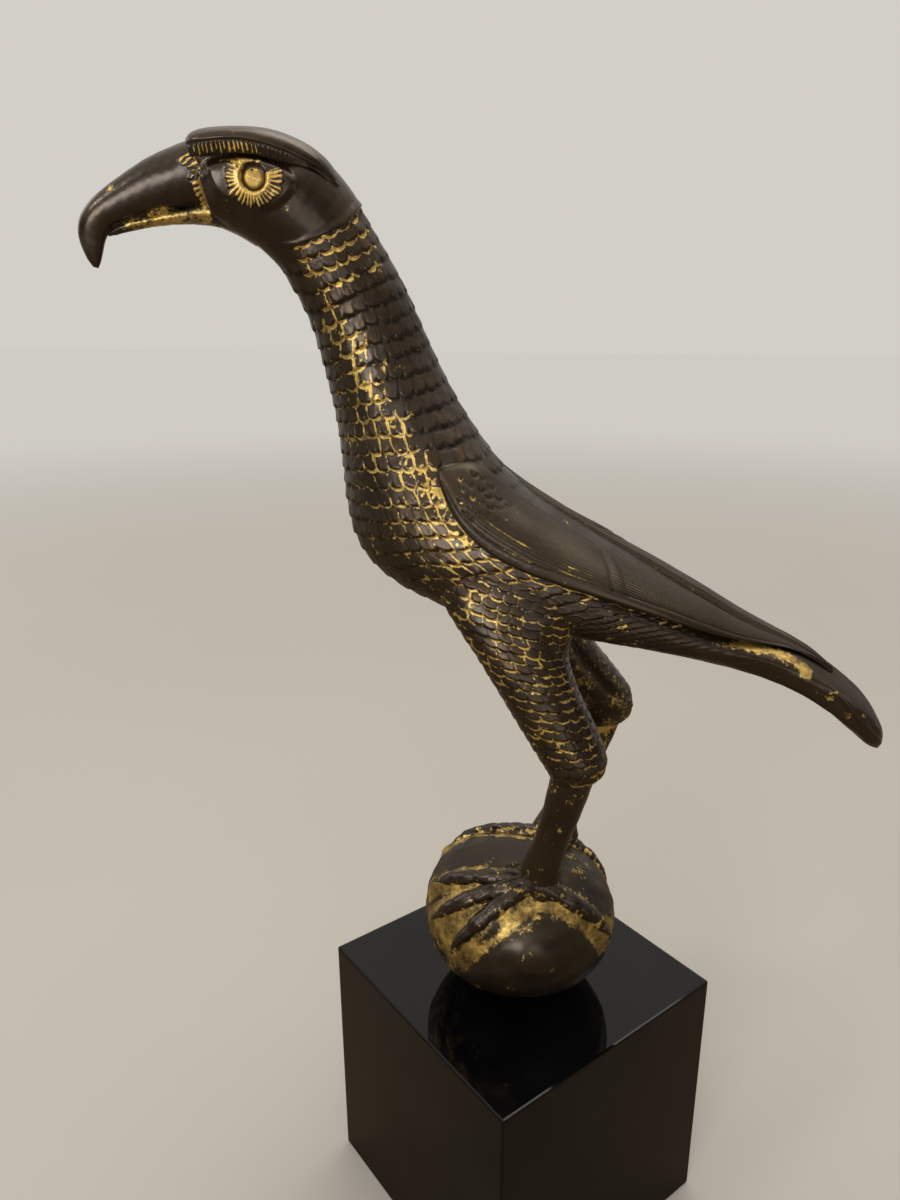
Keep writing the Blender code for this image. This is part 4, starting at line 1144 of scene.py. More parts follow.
# %% Gold of the thighs
outer_side = ease(-0.1, 0.55, thigh_out[..., 1])
inner_side = ease(0.1, -0.3, thigh_out[..., 1])
ahead_part = ease(0.2, 0.9, thigh_out[..., 0])
thigh_gold = 0.18 + 0.50 * outer_side * (1 - 0.5 * ahead_part)
thigh_gold = thigh_gold * (0.92 + 0.35 * uneven(thigh, 14.0, 86) + 0.30 * uneven(thigh, 5.0, 89))
inner_gold = inner_side * (0.36 + 0.08 * uneven(thigh, 9.0, 88))
# Painted highlight: a thin lighter line down the back edge of each thigh, where light catches its outline.
painted_back_rim_highlight = bell(thigh_out[..., 0] + 0.98, 0.12) * ease(-0.5, 0.0, thigh_out[..., 1])
thigh_finish = {
    "gilt": np.clip(thigh_gold, 0, 1),
    "leaf": np.clip(0.20 * outer_side * (0.5 + uneven(thigh, 6.0, 87)) + inner_gold, 0, 1),
    "worn": np.clip(ease(0.5, 0.95, height) * 0.7 * tooled + 0.8 * painted_back_rim_highlight, 0, 1),
    "feather": thigh_feather * tooled,
    "aged": 0.25 + 0.6 * inner_side,
    "ticks": 0.45 + 0.45 * ease(115.0, 140.0, thigh[..., 2]),
}
for tag, sign in SIDES:
    make_skin("thigh_" + tag, leg_on_side(thigh, sign), row=thigh_row, column=thigh_column, row_size=row_size,
              column_size=THIGH_SCALE_WIDTH, tooled=tooled, **thigh_finish)

# %% Shanks
SHANK_ROWS, SHANK_COLUMNS = 90, 48

shank_read = faired(SHANK, np.linspace(0, len(SHANK) - 1, SHANK_ROWS))[:, None, :]
shank_turn = (np.arange(SHANK_COLUMNS) * FULL_TURN / SHANK_COLUMNS)[None, :]
shank = np.stack([shank_read[..., 0] + shank_read[..., 3] * np.cos(shank_turn),
                  shank_read[..., 1] + shank_read[..., 4] * np.sin(shank_turn),
                  shank_read[..., 2] + 0 * shank_turn], axis=-1)
shank = shank + outward(shank) * (0.12 * uneven(shank, 12.0, 91) + 0.05 * uneven(shank, 3.0, 92))[..., None]
streaks = uneven(shank * np.array([1.0, 1.0, 0.18]), 2.6, 94)
shank_leaf = 0.30 + 0.30 * streaks + 0.22 * uneven(shank, 9.0, 93) + 0.5 * ease(84, 93, shank[..., 2])
shank_leaf = shank_leaf * (0.5 + 0.5 * ease(0.7, -0.2, np.sin(shank_turn)))
for tag, sign in SIDES:
    make_skin("shank_" + tag, leg_on_side(shank, sign), groove=0.2, gilt=0.3,
              leaf=np.clip(0.8 * shank_leaf, 0, 1), worn=0.1, feather=0.45, aged=0.05)

# %% [markdown]
# ## Stone and claws
#
# The bird grips a round stone. Its reach from its middle is an ellipsoid's plus a few soft lumps, which
# leaves a smooth boss below the near foot, ringed by a gilt hollow, and a dark valley on top. A subdivided
# ball could be pushed about by hand, but as a reach for each direction the stone also tells the toes where
# its surface is. They follow it as tapering tubes with knuckles, and end in claws.

# %% Reach of the stone
STONE_MIDDLE = np.array((-0.3, -3.4, 27.2))
STONE_HALF = np.array((33.8, 34.0, 28.4))
STONE_LUMPS = (
    ((-0.3, -0.9, 0.2), 1.4, 0.5),
    ((-0.97, 0.2, 0.1), 1.0, 0.5),
    ((0.8, 0.2, 0.5), 1.8, 0.4),
    ((-0.1, -0.75, -0.6), -1.6, 0.4),
    ((-0.1, 0.8, 0.5), -1.4, 0.6),
    ((0.0, 0.3, 0.9), -3.2, 0.5),
)


def stone_reach(direction):
    """1 / length of direction over the half sizes, plus height times exp(-(1 - cos) / spread^2) per lump."""
    base = 1.0 / np.linalg.norm(direction / STONE_HALF, axis=-1)
    for facing, lump, spread in STONE_LUMPS:
        facing = np.array(facing) / np.linalg.norm(facing)
        base = base + lump * np.exp(-(1.0 - direction @ facing) / (spread * spread))
    return base


def from_stone(point):
    """The unit direction from the stone's middle to a point."""
    away = np.asarray(point, float) - STONE_MIDDLE
    return away / np.linalg.norm(away, axis=-1, keepdims=True)


print(f"the stone reaches {stone_reach(from_stone((0.0, 0.0, 100.0))):.1f} mm up from its middle")

# %% Lines on the stone
ARCH = ((14.5, -33.5, 22.0), (11.5, -34.7, 27.7), (6.2, -35.7, 34.4), (1.4, -34.6, 39.5), (-3.2, -30.6, 44.4),
        (-10.6, -26.5, 46.6), (-19.0, -25.1, 42.9), (-27.4, -22.0, 34.7), (-32.0, -17.0, 26.0))
RIDGES = (
    ((1.8, -25.6, 54.6), (14.0, -23.0, 50.9), (27.7, -15.0, 40.2)),
    ((-3.1, 7.8, 49.9), (12.3, 5.4, 50.5), (27.0, 3.0, 42.0)),
    ((-2.0, 14.0, 50.0), (9.9, 13.1, 50.1), (19.6, 9.3, 47.9)),
)
BOSS = (-10.0, -33.6, 33.0)
VALLEY = ((27.5, -7.0, 43.0), (13.0, -8.7, 51.6), (-2.7, -6.3, 53.2))
FOOT_STARTS = ((-6.4, -19.0), (-8.6, 16.0))
FOOT_HEIGHT = 49.4
TOE_TIPS = (
    ((18.6, -31.2, 28.0), (27.6, -22.0, 31.6), (28.4, -12.6, 39.0), (-33.4, -14.0, 29.4)),
    ((27.6, 4.4, 42.0), (24.0, 18.0, 38.0), (12.0, 29.0, 30.0), (-33.0, 13.0, 30.0)),
)
STONE_RADIUS = 32.0
PATH_PLACES = 40
STONE_ROWS, STONE_COLUMNS = 160, 210
POLE_GAP = 0.02


def from_point(direction, point):
    """Distance in mm over the stone from a point: the angle to it times a mean radius of 32 mm."""
    return np.arccos(np.clip(direction @ from_stone(point), -1, 1)) * STONE_RADIUS


def from_path(direction, points):
    """Distance in mm over the stone from a path: the angle to its nearest place times the mean radius."""
    path = through(from_stone(points), np.linspace(0, len(points) - 1, PATH_PLACES))
    path /= np.linalg.norm(path, axis=1, keepdims=True)
    cosine = np.clip(direction @ path.T, -1, 1)
    return np.arccos(cosine.max(axis=-1)) * STONE_RADIUS


tilt = np.linspace(POLE_GAP, math.pi - POLE_GAP, STONE_ROWS)[:, None]
turn = (np.arange(STONE_COLUMNS) * FULL_TURN / STONE_COLUMNS)[None, :]
direction = np.stack([np.sin(tilt) * np.cos(turn), np.sin(tilt) * np.sin(turn),
                      np.cos(tilt) + 0 * turn], axis=-1)
arch = from_path(direction, ARCH)
ridges = np.min([from_path(direction, path) for path in RIDGES], axis=0)
boss = from_point(direction, BOSS)
valley = from_path(direction, VALLEY)
toe_away = np.min([from_path(direction, ((*foot, FOOT_HEIGHT), tip))
                   for foot, tips in zip(FOOT_STARTS, TOE_TIPS) for tip in tips], axis=0)
print(f"no place of the stone is more than {toe_away.max():.0f} mm from the middle line of a toe")

# %% Shape of the stone
ARCH_DEPTH, ARCH_WIDTH = 0.9, 2.4
RIDGE_RISE, BOSS_RISE = 0.6, 0.9
VALLEY_DEPTH, VALLEY_WIDTH = 0.5, 5.0
TOE_BED_RISE, TOE_BED_WIDTH = 1.1, 2.7

rough = uneven(direction, 0.30, 101) * ease(6.0, 12.0, boss) * ease(3.0, 8.0, valley)
stone_relief = RIDGE_RISE * bell(ridges, 1.5) - ARCH_DEPTH * bell(arch, ARCH_WIDTH)
stone_relief = stone_relief + BOSS_RISE * ease(10.5, 3.0, boss) - VALLEY_DEPTH * bell(valley, VALLEY_WIDTH)
stone_relief = stone_relief + TOE_BED_RISE * bell(toe_away, TOE_BED_WIDTH) + 0.28 * rough
stone_relief = stone_relief + 0.10 * uneven(direction, 0.11, 102) * ease(7.0, 13.0, boss)
stone = STONE_MIDDLE + direction * (stone_reach(direction) + stone_relief)[..., None]
stone[..., 2] = np.maximum(stone[..., 2], 0.0)
print("stone, in mm:", np.ptp(stone, axis=(0, 1)).round(1))

# %% Gold of the stone
mottle = 0.5 + 0.5 * uneven(direction, 0.55, 103) + 0.35 * uneven(direction, 0.2, 104)
low = ease(30.0, 8.0, stone[..., 2])
patches = ease(0.1, 0.8, uneven(direction, 0.8, 105))
beside_toes = bell(toe_away - 3.2, 1.6)
front = ease(0.1, 0.7, direction[..., 0]) * ease(0.75, 0.2, direction[..., 2])
stone_leaf = 0.75 * bell(arch - 0.3, 1.6) + 0.6 * bell(ridges, 2.2) + 0.34 * front + 0.30 * patches
stone_leaf = (stone_leaf + 0.6 * beside_toes + 0.32 * mottle * (0.35 + 0.65 * low)) * ease(5.0, 9.5, boss)
stone_leaf = stone_leaf * (0.30 + 0.70 * ease(2.0, 7.0, valley))
make_skin("stone", stone, groove=0.3, gilt=0.2, leaf=np.clip(stone_leaf, 0, 0.95),
          feather=0.15 + 0.2 * mottle, aged=0.7 * ease(4.0, 10.0, boss))

# %% Shape of a toe
TOE_RADII = ((4.0,), (3.1,), (2.7,), (2.5,), (2.5,), (2.1,), (1.5,), (0.6,))
TOE_LIFT, TOE_PROUD = 0.1, 0.15
TOE_RINGS, TOE_COLUMNS = 60, 28
TOE_JOINTS, JOINT_HEIGHT = 5.5, 0.45
TOE_REACH, SCUTE_STEP, SCUTE_HEIGHT = 36.0, 2.1, 0.08


def unit(vectors):
    """The vectors at length one."""
    return vectors / np.linalg.norm(vectors, axis=1, keepdims=True)


def toe_skin(foot, tip, seed):
    """A tube along the great circle from foot to tip; its middle lies 0.1 mm plus 0.15 radii off the stone."""
    start, finish = from_stone((*foot, FOOT_HEIGHT)), from_stone(tip)
    share = np.linspace(0.0, 1.0, TOE_RINGS)[:, None]
    angle = math.acos(float(np.clip(start @ finish, -1.0, 1.0)))
    path = (np.sin((1 - share) * angle) * start + np.sin(share * angle) * finish) / math.sin(angle)
    radius = faired(TOE_RADII, share[:, 0] * (len(TOE_RADII) - 1), 0.35)
    centre = STONE_MIDDLE + path * (stone_reach(path)[:, None] + TOE_LIFT + TOE_PROUD * radius)
    ahead = unit(np.gradient(centre, axis=0))
    sideways = unit(np.cross(ahead, path))
    upward = np.cross(sideways, ahead)
    turn = (np.arange(TOE_COLUMNS) * FULL_TURN / TOE_COLUMNS)[None, :, None]
    around = np.cos(turn) * sideways[:, None] + np.sin(turn) * upward[:, None]
    scutes = 0.5 + 0.5 * np.cos(FULL_TURN * share * angle * TOE_REACH / SCUTE_STEP)
    joints = np.abs(np.sin(math.pi * (TOE_JOINTS * share + 0.3))) ** 0.6
    bumps = (SCUTE_HEIGHT * scutes + JOINT_HEIGHT * joints) * ease(0.92, 0.80, share) * ease(0.0, 0.15, share)
    toe = centre[:, None] + (radius[:, None] + bumps[:, None]) * around
    toe = toe + around * (0.24 * uneven(toe, 4.5, seed) + 0.10 * uneven(toe, 2.0, seed + 40))[..., None]
    return toe, np.sin(turn[..., 0]) + 0 * share


print("a toe is", 2 * TOE_RADII[0][0], "mm thick at the foot and", 2 * TOE_RADII[-1][0], "mm at the claw's tip")

# %% Toes and claws
HIND_TOE = 3

for number, (tag, _) in enumerate(SIDES):
    for toe_number, tip in enumerate(TOE_TIPS[number]):
        toe, up = toe_skin(FOOT_STARTS[number], tip, 110 + 5 * number + toe_number)
        flank = ease(0.8, 0.2, up) * (0.7 + 0.4 * uneven(toe, 4.0, 120 + toe_number))
        flecks = (0.55 if toe_number < HIND_TOE else 0.8) * uneven(toe, 2.6, 130 + toe_number)
        # The tops of the toes get lighter bare bronze, partly rubbed metal and partly a painted highlight along
        # them.
        make_skin(f"toe_{tag}_{toe_number}", toe, groove=0.3, gilt=0.3, worn=0.5 * ease(0.5, 1.0, up),
                  leaf=np.clip(0.62 * flank + flecks, 0, 1), feather=0.1, aged=0.15)

total = sum(sum(len(face.vertices) - 2 for face in piece.data.polygons) for piece in skins)
print("pieces:", len(skins), "triangles:", total)

# %% [markdown]
# ## Finishes
#
# Old bronze takes a dark brown patina that is never even: browner where hands have thinned it, greyer and
# duller in the hollows. The gold was laid on and then rubbed, so it stays in the grooves and in mottled
# patches. All this could be one long material, but each effect is one node group with named sockets, which
# can be read, tried and used again by itself. Shaders stay in the materials.

# %% Node helpers
def add(tree, kind, inputs=None, **settings):
    """A node with its settings and its inputs, each input a value or another node's output."""
    made = tree.nodes.new(kind)
    for key, value in settings.items():
        setattr(made, key, value)
    for key, value in (inputs or {}).items():
        if isinstance(value, bpy.types.NodeSocket):
            tree.links.new(value, made.inputs[key])
        else:
            made.inputs[key].default_value = value
    return made


def sum_up(tree, operation, first, second, clamp=False):
    """One arithmetic step on two values."""
    return add(tree, "ShaderNodeMath", {0: first, 1: second}, operation=operation, use_clamp=clamp).outputs[0]


def plus(tree, first, second):
    """The sum of two values."""
    return sum_up(tree, "ADD", first, second)


def less(tree, first, second):
    """The first value less the second."""
    return sum_up(tree, "SUBTRACT", first, second)


def times(tree, first, second):
    """The product of two values."""
    return sum_up(tree, "MULTIPLY", first, second)


def larger(tree, first, second):
    """The larger of two values."""
    return sum_up(tree, "MAXIMUM", first, second)


def chain(tree, value, *steps):
    """One value through several arithmetic steps."""
    for operation, other in steps:
        value = sum_up(tree, operation, value, other)
    return value


def ramp_to(tree, value, low, high):
    """0 at low to 1 at high, smooth between."""
    return add(tree, "ShaderNodeMapRange", {"Value": value, "From Min": low, "From Max": high},
               interpolation_type="SMOOTHSTEP").outputs["Result"]


def mix_colours(tree, share, first, second, blend="MIX"):
    """The first colour at share 0 and the second at share 1."""
    made = add(tree, "ShaderNodeMix", {0: share, 6: first, 7: second}, data_type="RGBA", blend_type=blend)
    return made.outputs[2]


def mix_values(tree, share, first, second):
    """The first value at share 0 and the second at share 1."""
    return add(tree, "ShaderNodeMix", {0: share, 2: first, 3: second}).outputs[0]


def object_place(tree):
    """Object coordinates: finished pieces sit unturned at the origin, so these are places in metres."""
    return add(tree, "ShaderNodeTexCoord").outputs["Object"]


def grain(tree, place, scale, detail=3.0, rough=0.55):
    """Noise of about 1/scale metres."""
    return add(tree, "ShaderNodeTexNoise", {"Vector": place, "Scale": scale, "Detail": detail,
                                            "Roughness": rough}).outputs["Fac"]


def noisy(tree, value, noise, size):
    """The value plus or minus half the size, by the noise."""
    return plus(tree, value, times(tree, less(tree, noise, 0.5), size))


def new_group(name, inputs, outputs):
    """An empty node group with named sockets, its inputs as given and its outputs as gives."""
    tree = bpy.data.node_groups.new(name, "ShaderNodeTree")
    for label, kind in inputs:
        tree.interface.new_socket(label, in_out="INPUT", socket_type=kind)
    for label, kind in outputs:
        tree.interface.new_socket(label, in_out="OUTPUT", socket_type=kind)
    print(f"group {name}: from", [label for label, _ in inputs], "to", [label for label, _ in outputs])
    return tree, tree.nodes.new("NodeGroupInput").outputs, tree.nodes.new("NodeGroupOutput").inputs


VECTOR, VALUE, COLOUR = "NodeSocketVector", "NodeSocketFloat", "NodeSocketColor"

# %% Patina
BROWN_DARK, BROWN = (0.022, 0.0128, 0.0062, 1), (0.041, 0.0245, 0.0112, 1)
FEATHER_BROWN = (0.066, 0.038, 0.016, 1)
FLECK_BROWN = (0.052, 0.031, 0.015, 1)
OLIVE_STAIN = (0.046, 0.036, 0.019, 1)
GROOVE_BROWN = (0.006, 0.004, 0.0025, 1)

patina, given, gives = new_group(
    "patina", [("Place", VECTOR), ("Groove", VALUE), ("Feather", VALUE), ("Aged", VALUE)],
    [("Color", COLOUR), ("Roughness", VALUE), ("Height", VALUE)])
cloud = grain(patina, given["Place"], 60.0, 4.0)
fine = grain(patina, given["Place"], 420.0, 4.0, 0.6)
pits = grain(patina, given["Place"], 1500.0, 2.0)
brown = mix_colours(patina, ramp_to(patina, cloud, 0.35, 0.68), BROWN_DARK, BROWN)
brown = mix_colours(patina, times(patina, given["Feather"], 0.45), brown, FEATHER_BROWN)
brown = mix_colours(patina, times(patina, ramp_to(patina, fine, 0.5, 0.75), 0.5), brown, FLECK_BROWN)
clouded = plus(patina, 0.45, times(patina, ramp_to(patina, cloud, 0.32, 0.60), 0.55))
brown = mix_colours(patina, times(patina, times(patina, given["Aged"], clouded), 0.7), brown, OLIVE_STAIN)
patina.links.new(mix_colours(patina, times(patina, given["Groove"], 0.75), brown, GROOVE_BROWN), gives["Color"])
dull = plus(patina, 0.20, times(patina, fine, 0.16))
dull = plus(patina, dull, times(patina, given["Aged"], 0.10))
patina.links.new(plus(patina, dull, times(patina, given["Groove"], 0.14)), gives["Roughness"])
patina.links.new(plus(patina, times(patina, fine, 0.6), times(patina, pits, 0.4)), gives["Height"])

# %% Gilding left in the grooves
GOLD_DEEP, GOLD = (0.40, 0.25, 0.055, 1), (0.66, 0.45, 0.115, 1)
GOLD_BRIGHT = (0.88, 0.67, 0.26, 1)
GOLD_STAINED = (0.22, 0.145, 0.042, 1)

gilding, given, gives = new_group(
    "gilding", [("Place", VECTOR), ("Groove", VALUE), ("Gilt", VALUE), ("Leaf", VALUE), ("Aged", VALUE)],
    [("Mask", VALUE), ("Color", COLOUR), ("Roughness", VALUE)])
coarse = grain(gilding, given["Place"], 170.0, 3.0)
crumb = grain(gilding, given["Place"], 900.0, 3.0, 0.65)
dirt = grain(gilding, given["Place"], 330.0, 4.0, 0.7)
held = noisy(gilding, times(gilding, given["Groove"], given["Gilt"]), crumb, 0.8)
held = noisy(gilding, noisy(gilding, held, coarse, 1.7), dirt, 1.1)
held = ramp_to(gilding, held, 0.40, 0.62)
left = noisy(gilding, noisy(gilding, given["Leaf"], crumb, 1.2), coarse, 1.1)
left = ramp_to(gilding, left, 0.38, 0.70)
hidden = times(gilding, given["Aged"], ramp_to(gilding, dirt, 0.36, 0.60))
shown = less(gilding, 1.0, times(gilding, hidden, 0.9))
gilding.links.new(times(gilding, sum_up(gilding, "MAXIMUM", held, left, True), shown), gives["Mask"])
warm = mix_colours(gilding, ramp_to(gilding, coarse, 0.35, 0.65), GOLD_DEEP, GOLD)
warm = mix_colours(gilding, ramp_to(gilding, crumb, 0.48, 0.72), warm, GOLD_BRIGHT)
stained = times(gilding, given["Aged"], times(gilding, ramp_to(gilding, coarse, 0.65, 0.40), 0.8))
gilding.links.new(mix_colours(gilding, stained, warm, GOLD_STAINED), gives["Color"])
gilding.links.new(plus(gilding, 0.38, times(gilding, crumb, 0.2)), gives["Roughness"])

# %% [markdown]
# The chisel lines between the scales could be pressed into the mesh, but a line is thinner than the mesh is
# fine. They are drawn here from the same row and column numbers as the relief. The group gives a groove value
# that is 1 on a line and falls to nothing about a millimetre away, so that more gold also means wider gold.
# The lines across the feathers and those between neighbours come out apart, because the first kept more gold.

# %% Lines between the scales
CROSS_REACH, SIDE_REACH, SIDE_STRENGTH = 1.05, 0.8, 0.85

net, given, gives = new_group(
    "feather_net", [("Row", VALUE), ("Column", VALUE), ("Row Size", VALUE), ("Column Size", VALUE)],
    [("Cross", VALUE), ("Side", VALUE)])


def distance(tree, first, second):
    """The size of the difference of two values."""
    return sum_up(tree, "ABSOLUTE", less(tree, first, second), 0.0)


def edge_nodes(tree, row, column):
    """The lower edge of a row and the size of x across its scale, as in lower_edge."""
    half = chain(tree, row, ("MODULO", 2.0), ("MULTIPLY", 0.5))
    lean = chain(tree, row, ("MULTIPLY", LEAN_STEP), ("SINE", 0.0), ("MULTIPLY", SCALE_LEAN))
    x = less(tree, less(tree, column, half), lean)
    x = distance(tree, x, sum_up(tree, "ROUND", x, 0.0))
    bulge = chain(tree, x, ("MULTIPLY", 2.0), ("POWER", 3.0), ("MULTIPLY", -SCALE_DROP),
                  ("ADD", 1 + SCALE_DROP / 2))
    return plus(tree, row, bulge), x


def line_by(tree, away, reach):
    """1 on a line and 0 past its reach, smooth between."""
    return less(tree, 1.0, ramp_to(tree, away, 0.0, reach))


base = sum_up(net, "FLOOR", given["Row"], 0.0)
end_before, _ = edge_nodes(net, less(net, base, 1.0), given["Column"])
end_here, _ = edge_nodes(net, base, given["Column"])
owner = less(net, plus(net, base, 1.0), sum_up(net, "LESS_THAN", given["Row"], end_here))
owner = less(net, owner, sum_up(net, "LESS_THAN", given["Row"], end_before))
_, aside = edge_nodes(net, owner, given["Column"])
cross = sum_up(net, "MINIMUM", distance(net, given["Row"], end_before), distance(net, given["Row"], end_here))
cross = times(net, cross, given["Row Size"])
aside = times(net, less(net, 0.5, aside), given["Column Size"])
net.links.new(line_by(net, cross, CROSS_REACH), gives["Cross"])
net.links.new(times(net, line_by(net, aside, SIDE_REACH), SIDE_STRENGTH), gives["Side"])

# %% Rubbed edges and painted highlights
rubbing_and_highlights, given, gives = new_group("rubbed_edges_and_highlights", [("Place", VECTOR), ("Wear And Highlight", VALUE)], [("Mask", VALUE)])
rub = grain(rubbing_and_highlights, given["Place"], 700.0, 3.0)
rubbing_and_highlights.links.new(ramp_to(rubbing_and_highlights, noisy(rubbing_and_highlights, given["Wear And Highlight"], rub, 0.9), 0.55, 1.0), gives["Mask"])

# %% [markdown]
# The bronze puts the groups together: patina under rubbed edges and painted highlights under gold. Lines also
# go into a bump, so that they catch the light. A thin film of wax, a coat, lies on the smooth parts; it is left
# off where dirt has dulled the metal and is thin on the feathers, because a coat everywhere would look like
# lacquer.

# %% Bronze
# Lighter bare bronze, for rubbed metal and for painted highlights.
BARE_BRONZE_AND_HIGHLIGHT = (0.075, 0.051, 0.030, 1)
WAX_ROUGHNESS, WAX_IOR = 0.27, 1.42
BUMP_METRES = 0.00006

bronze = bpy.data.materials.new("patinated_gilt_bronze")
bronze.use_nodes = True
tree = bronze.node_tree
shader = tree.nodes["Principled BSDF"]
spot = object_place(tree)
field = {name: add(tree, "ShaderNodeAttribute", attribute_name=name).outputs["Fac"]
         for name in FIELDS + NET_FIELDS}


def use(group, inputs):
    """The group in this material, with its inputs linked by name."""
    made = add(tree, "ShaderNodeGroup", node_tree=group)
    for name, value in inputs.items():
        tree.links.new(value, made.inputs[name])
    return made.outputs


lines = use(net, {"Row": field["row"], "Column": field["column"], "Row Size": field["row_size"],
                  "Column Size": field["column_size"]})
across = times(tree, lines["Cross"], field["tooled"])
between = times(tree, lines["Side"], field["tooled"])
netted = larger(tree, across, times(tree, between, 0.7))
gold_lines = larger(tree, across, times(tree, between, field["ticks"]))
drawn = chain(tree, field["line"], ("MULTIPLY", FULL_TURN), ("COSINE", 0.0))
drawn = times(tree, ramp_to(tree, drawn, 0.35, 1.0), field["lined"])
groove = larger(tree, field["groove"], larger(tree, netted, times(tree, drawn, 0.7)))
dark = use(patina, {"Place": spot, "Groove": groove, "Feather": field["feather"], "Aged": field["aged"]})
gold = use(gilding, {"Place": spot, "Groove": larger(tree, field["groove"], gold_lines), "Gilt": field["gilt"],
                     "Leaf": field["leaf"], "Aged": field["aged"]})
# This mask lays lighter bronze on rubbed metal and on painted highlights.
bare_and_highlight = use(rubbing_and_highlights, {"Place": spot, "Wear And Highlight": field["worn"]})["Mask"]
print("bronze reads", len(field), "numbers at each point")

# %% Colour, gloss and bump of the bronze
rubbed_and_highlighted = mix_colours(tree, times(tree, bare_and_highlight, 0.55), dark["Color"], BARE_BRONZE_AND_HIGHLIGHT)
tree.links.new(mix_colours(tree, gold["Mask"], rubbed_and_highlighted, gold["Color"]), shader.inputs["Base Color"])
metal = plus(tree, 0.70, times(tree, bare_and_highlight, 0.2))
tree.links.new(mix_values(tree, gold["Mask"], metal, 0.92), shader.inputs["Metallic"])
smooth = less(tree, dark["Roughness"], times(tree, bare_and_highlight, 0.06))
tree.links.new(mix_values(tree, gold["Mask"], smooth, gold["Roughness"]), shader.inputs["Roughness"])
cuts = plus(tree, times(tree, netted, 2.6), times(tree, drawn, 1.7))
raised = less(tree, plus(tree, dark["Height"], gold["Mask"]), cuts)
bump = add(tree, "ShaderNodeBump", {"Height": raised, "Strength": 0.6, "Distance": BUMP_METRES})
tree.links.new(bump.outputs["Normal"], shader.inputs["Normal"])
wax = less(tree, 1.0, times(tree, field["aged"], 0.8))
wax = times(tree, wax, chain(tree, field["feather"], ("MULTIPLY", -0.85), ("ADD", 1.0)))
tree.links.new(times(tree, wax, 0.6), shader.inputs["Coat Weight"])
shader.inputs["Coat Roughness"].default_value = WAX_ROUGHNESS
shader.inputs["IOR"].default_value = WAX_IOR
print("nodes in the bronze:", len(tree.nodes))

# %% [markdown]
# ## Polished black stone
#
# The block is a dense black stone with a mirror polish. Plain black with no roughness would look like plastic
# or glass. What keeps it a stone is a trace of haze from handling, a few pale mineral specks and very faint
# polishing waves, all from noise in the block itself, so no edge shows a seam.

# %% Black stone
STONE_BLACK, STONE_GREY = (0.0012, 0.0013, 0.0016, 1), (0.0035, 0.0036, 0.0040, 1)
SPECK_GREY = (0.045, 0.043, 0.040, 1)

black = bpy.data.materials.new("polished_black_stone")
black.use_nodes = True
tree = black.node_tree
shader = tree.nodes["Principled BSDF"]
spot = object_place(tree)
haze = grain(tree, spot, 28.0, 5.0, 0.6)
specks = add(tree, "ShaderNodeTexVoronoi", {"Vector": spot, "Scale": 900.0}).outputs["Distance"]
speck = times(tree, ramp_to(tree, specks, 0.16, 0.06), ramp_to(tree, grain(tree, spot, 120.0), 0.55, 0.7))
vein = mix_colours(tree, ramp_to(tree, haze, 0.35, 0.7), STONE_BLACK, STONE_GREY)
tree.links.new(mix_colours(tree, times(tree, speck, 0.5), vein, SPECK_GREY), shader.inputs["Base Color"])
tree.links.new(plus(tree, 0.03, times(tree, ramp_to(tree, haze, 0.4, 0.8), 0.07)), shader.inputs["Roughness"])
ripple = add(tree, "ShaderNodeBump", {"Height": haze, "Strength": 0.25, "Distance": 0.00004}).outputs["Normal"]
tree.links.new(ripple, shader.inputs["Normal"])
shader.inputs["IOR"].default_value = 1.33
print("nodes in the black stone:", len(tree.nodes))

# %% [markdown]
# ## Dressing the model
#
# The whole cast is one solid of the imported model, so every bronze skin rides on the same body and takes the
# place of that solid. The block needs no new shape: its own solid gets the stone as its material.

# %% Dress the model
for piece in skins:
    piece.data.materials.append(bronze)
    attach(piece, "root")
    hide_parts("falcon")
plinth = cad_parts["plinth"]
for slot in plinth.material_slots:
    slot.material = black
if not plinth.material_slots:
    plinth.data.materials.append(black)
print("dressed:", len(skins), "bronze pieces and the plinth")

# %% [markdown]
# ## Floor, light and camera
#
# A plain pale floor in a soft pale room, brighter above and behind than on the camera's side. An image of a
# room would give its own colours to the bronze, so the light is a few lamps whose work can be told apart. A
# wide one overhead gives the grey sheen on the cap, back and wings. A small one from the front left puts
# crisp lights on the edges of brow, wing and toes. One over the camera lifts the side that is seen, a soft
# one from the left rounds the neck, one beside the beak gives it a broad streak, and a weak one on the other
# side lights the cheek.

# %% Floor
FLOOR_HALF = 6.0
FLOOR_LOW, FLOOR_HIGH = (0.42, 0.405, 0.375, 1), (0.45, 0.435, 0.405, 1)
PAINTED_FLOOR_REFLECTION = (0.17, 0.13, 0.085, 1)
BACKDROP = (0.98, 0.945, 0.87, 1)
BLACK = (0.0, 0.0, 0.0, 1)
FLOOR_ENDS, BACKDROP_STARTS = 0.6, 2.4

floor_mesh = bpy.data.meshes.new("floor")
floor_mesh.from_pydata([(-FLOOR_HALF, -FLOOR_HALF, 0.0), (FLOOR_HALF, -FLOOR_HALF, 0.0),
                        (FLOOR_HALF, FLOOR_HALF, 0.0), (-FLOOR_HALF, FLOOR_HALF, 0.0)], [], [(0, 1, 2, 3)])
floor = bpy.data.objects.new("floor", floor_mesh)
bpy.context.scene.collection.objects.link(floor)
pale = bpy.data.materials.new("pale_floor")
pale.use_nodes = True
tree = pale.node_tree
shader = tree.nodes["Principled BSDF"]
spot = object_place(tree)
pale_tone = mix_colours(tree, grain(tree, spot, 3.0, 4.0), FLOOR_LOW, FLOOR_HIGH)
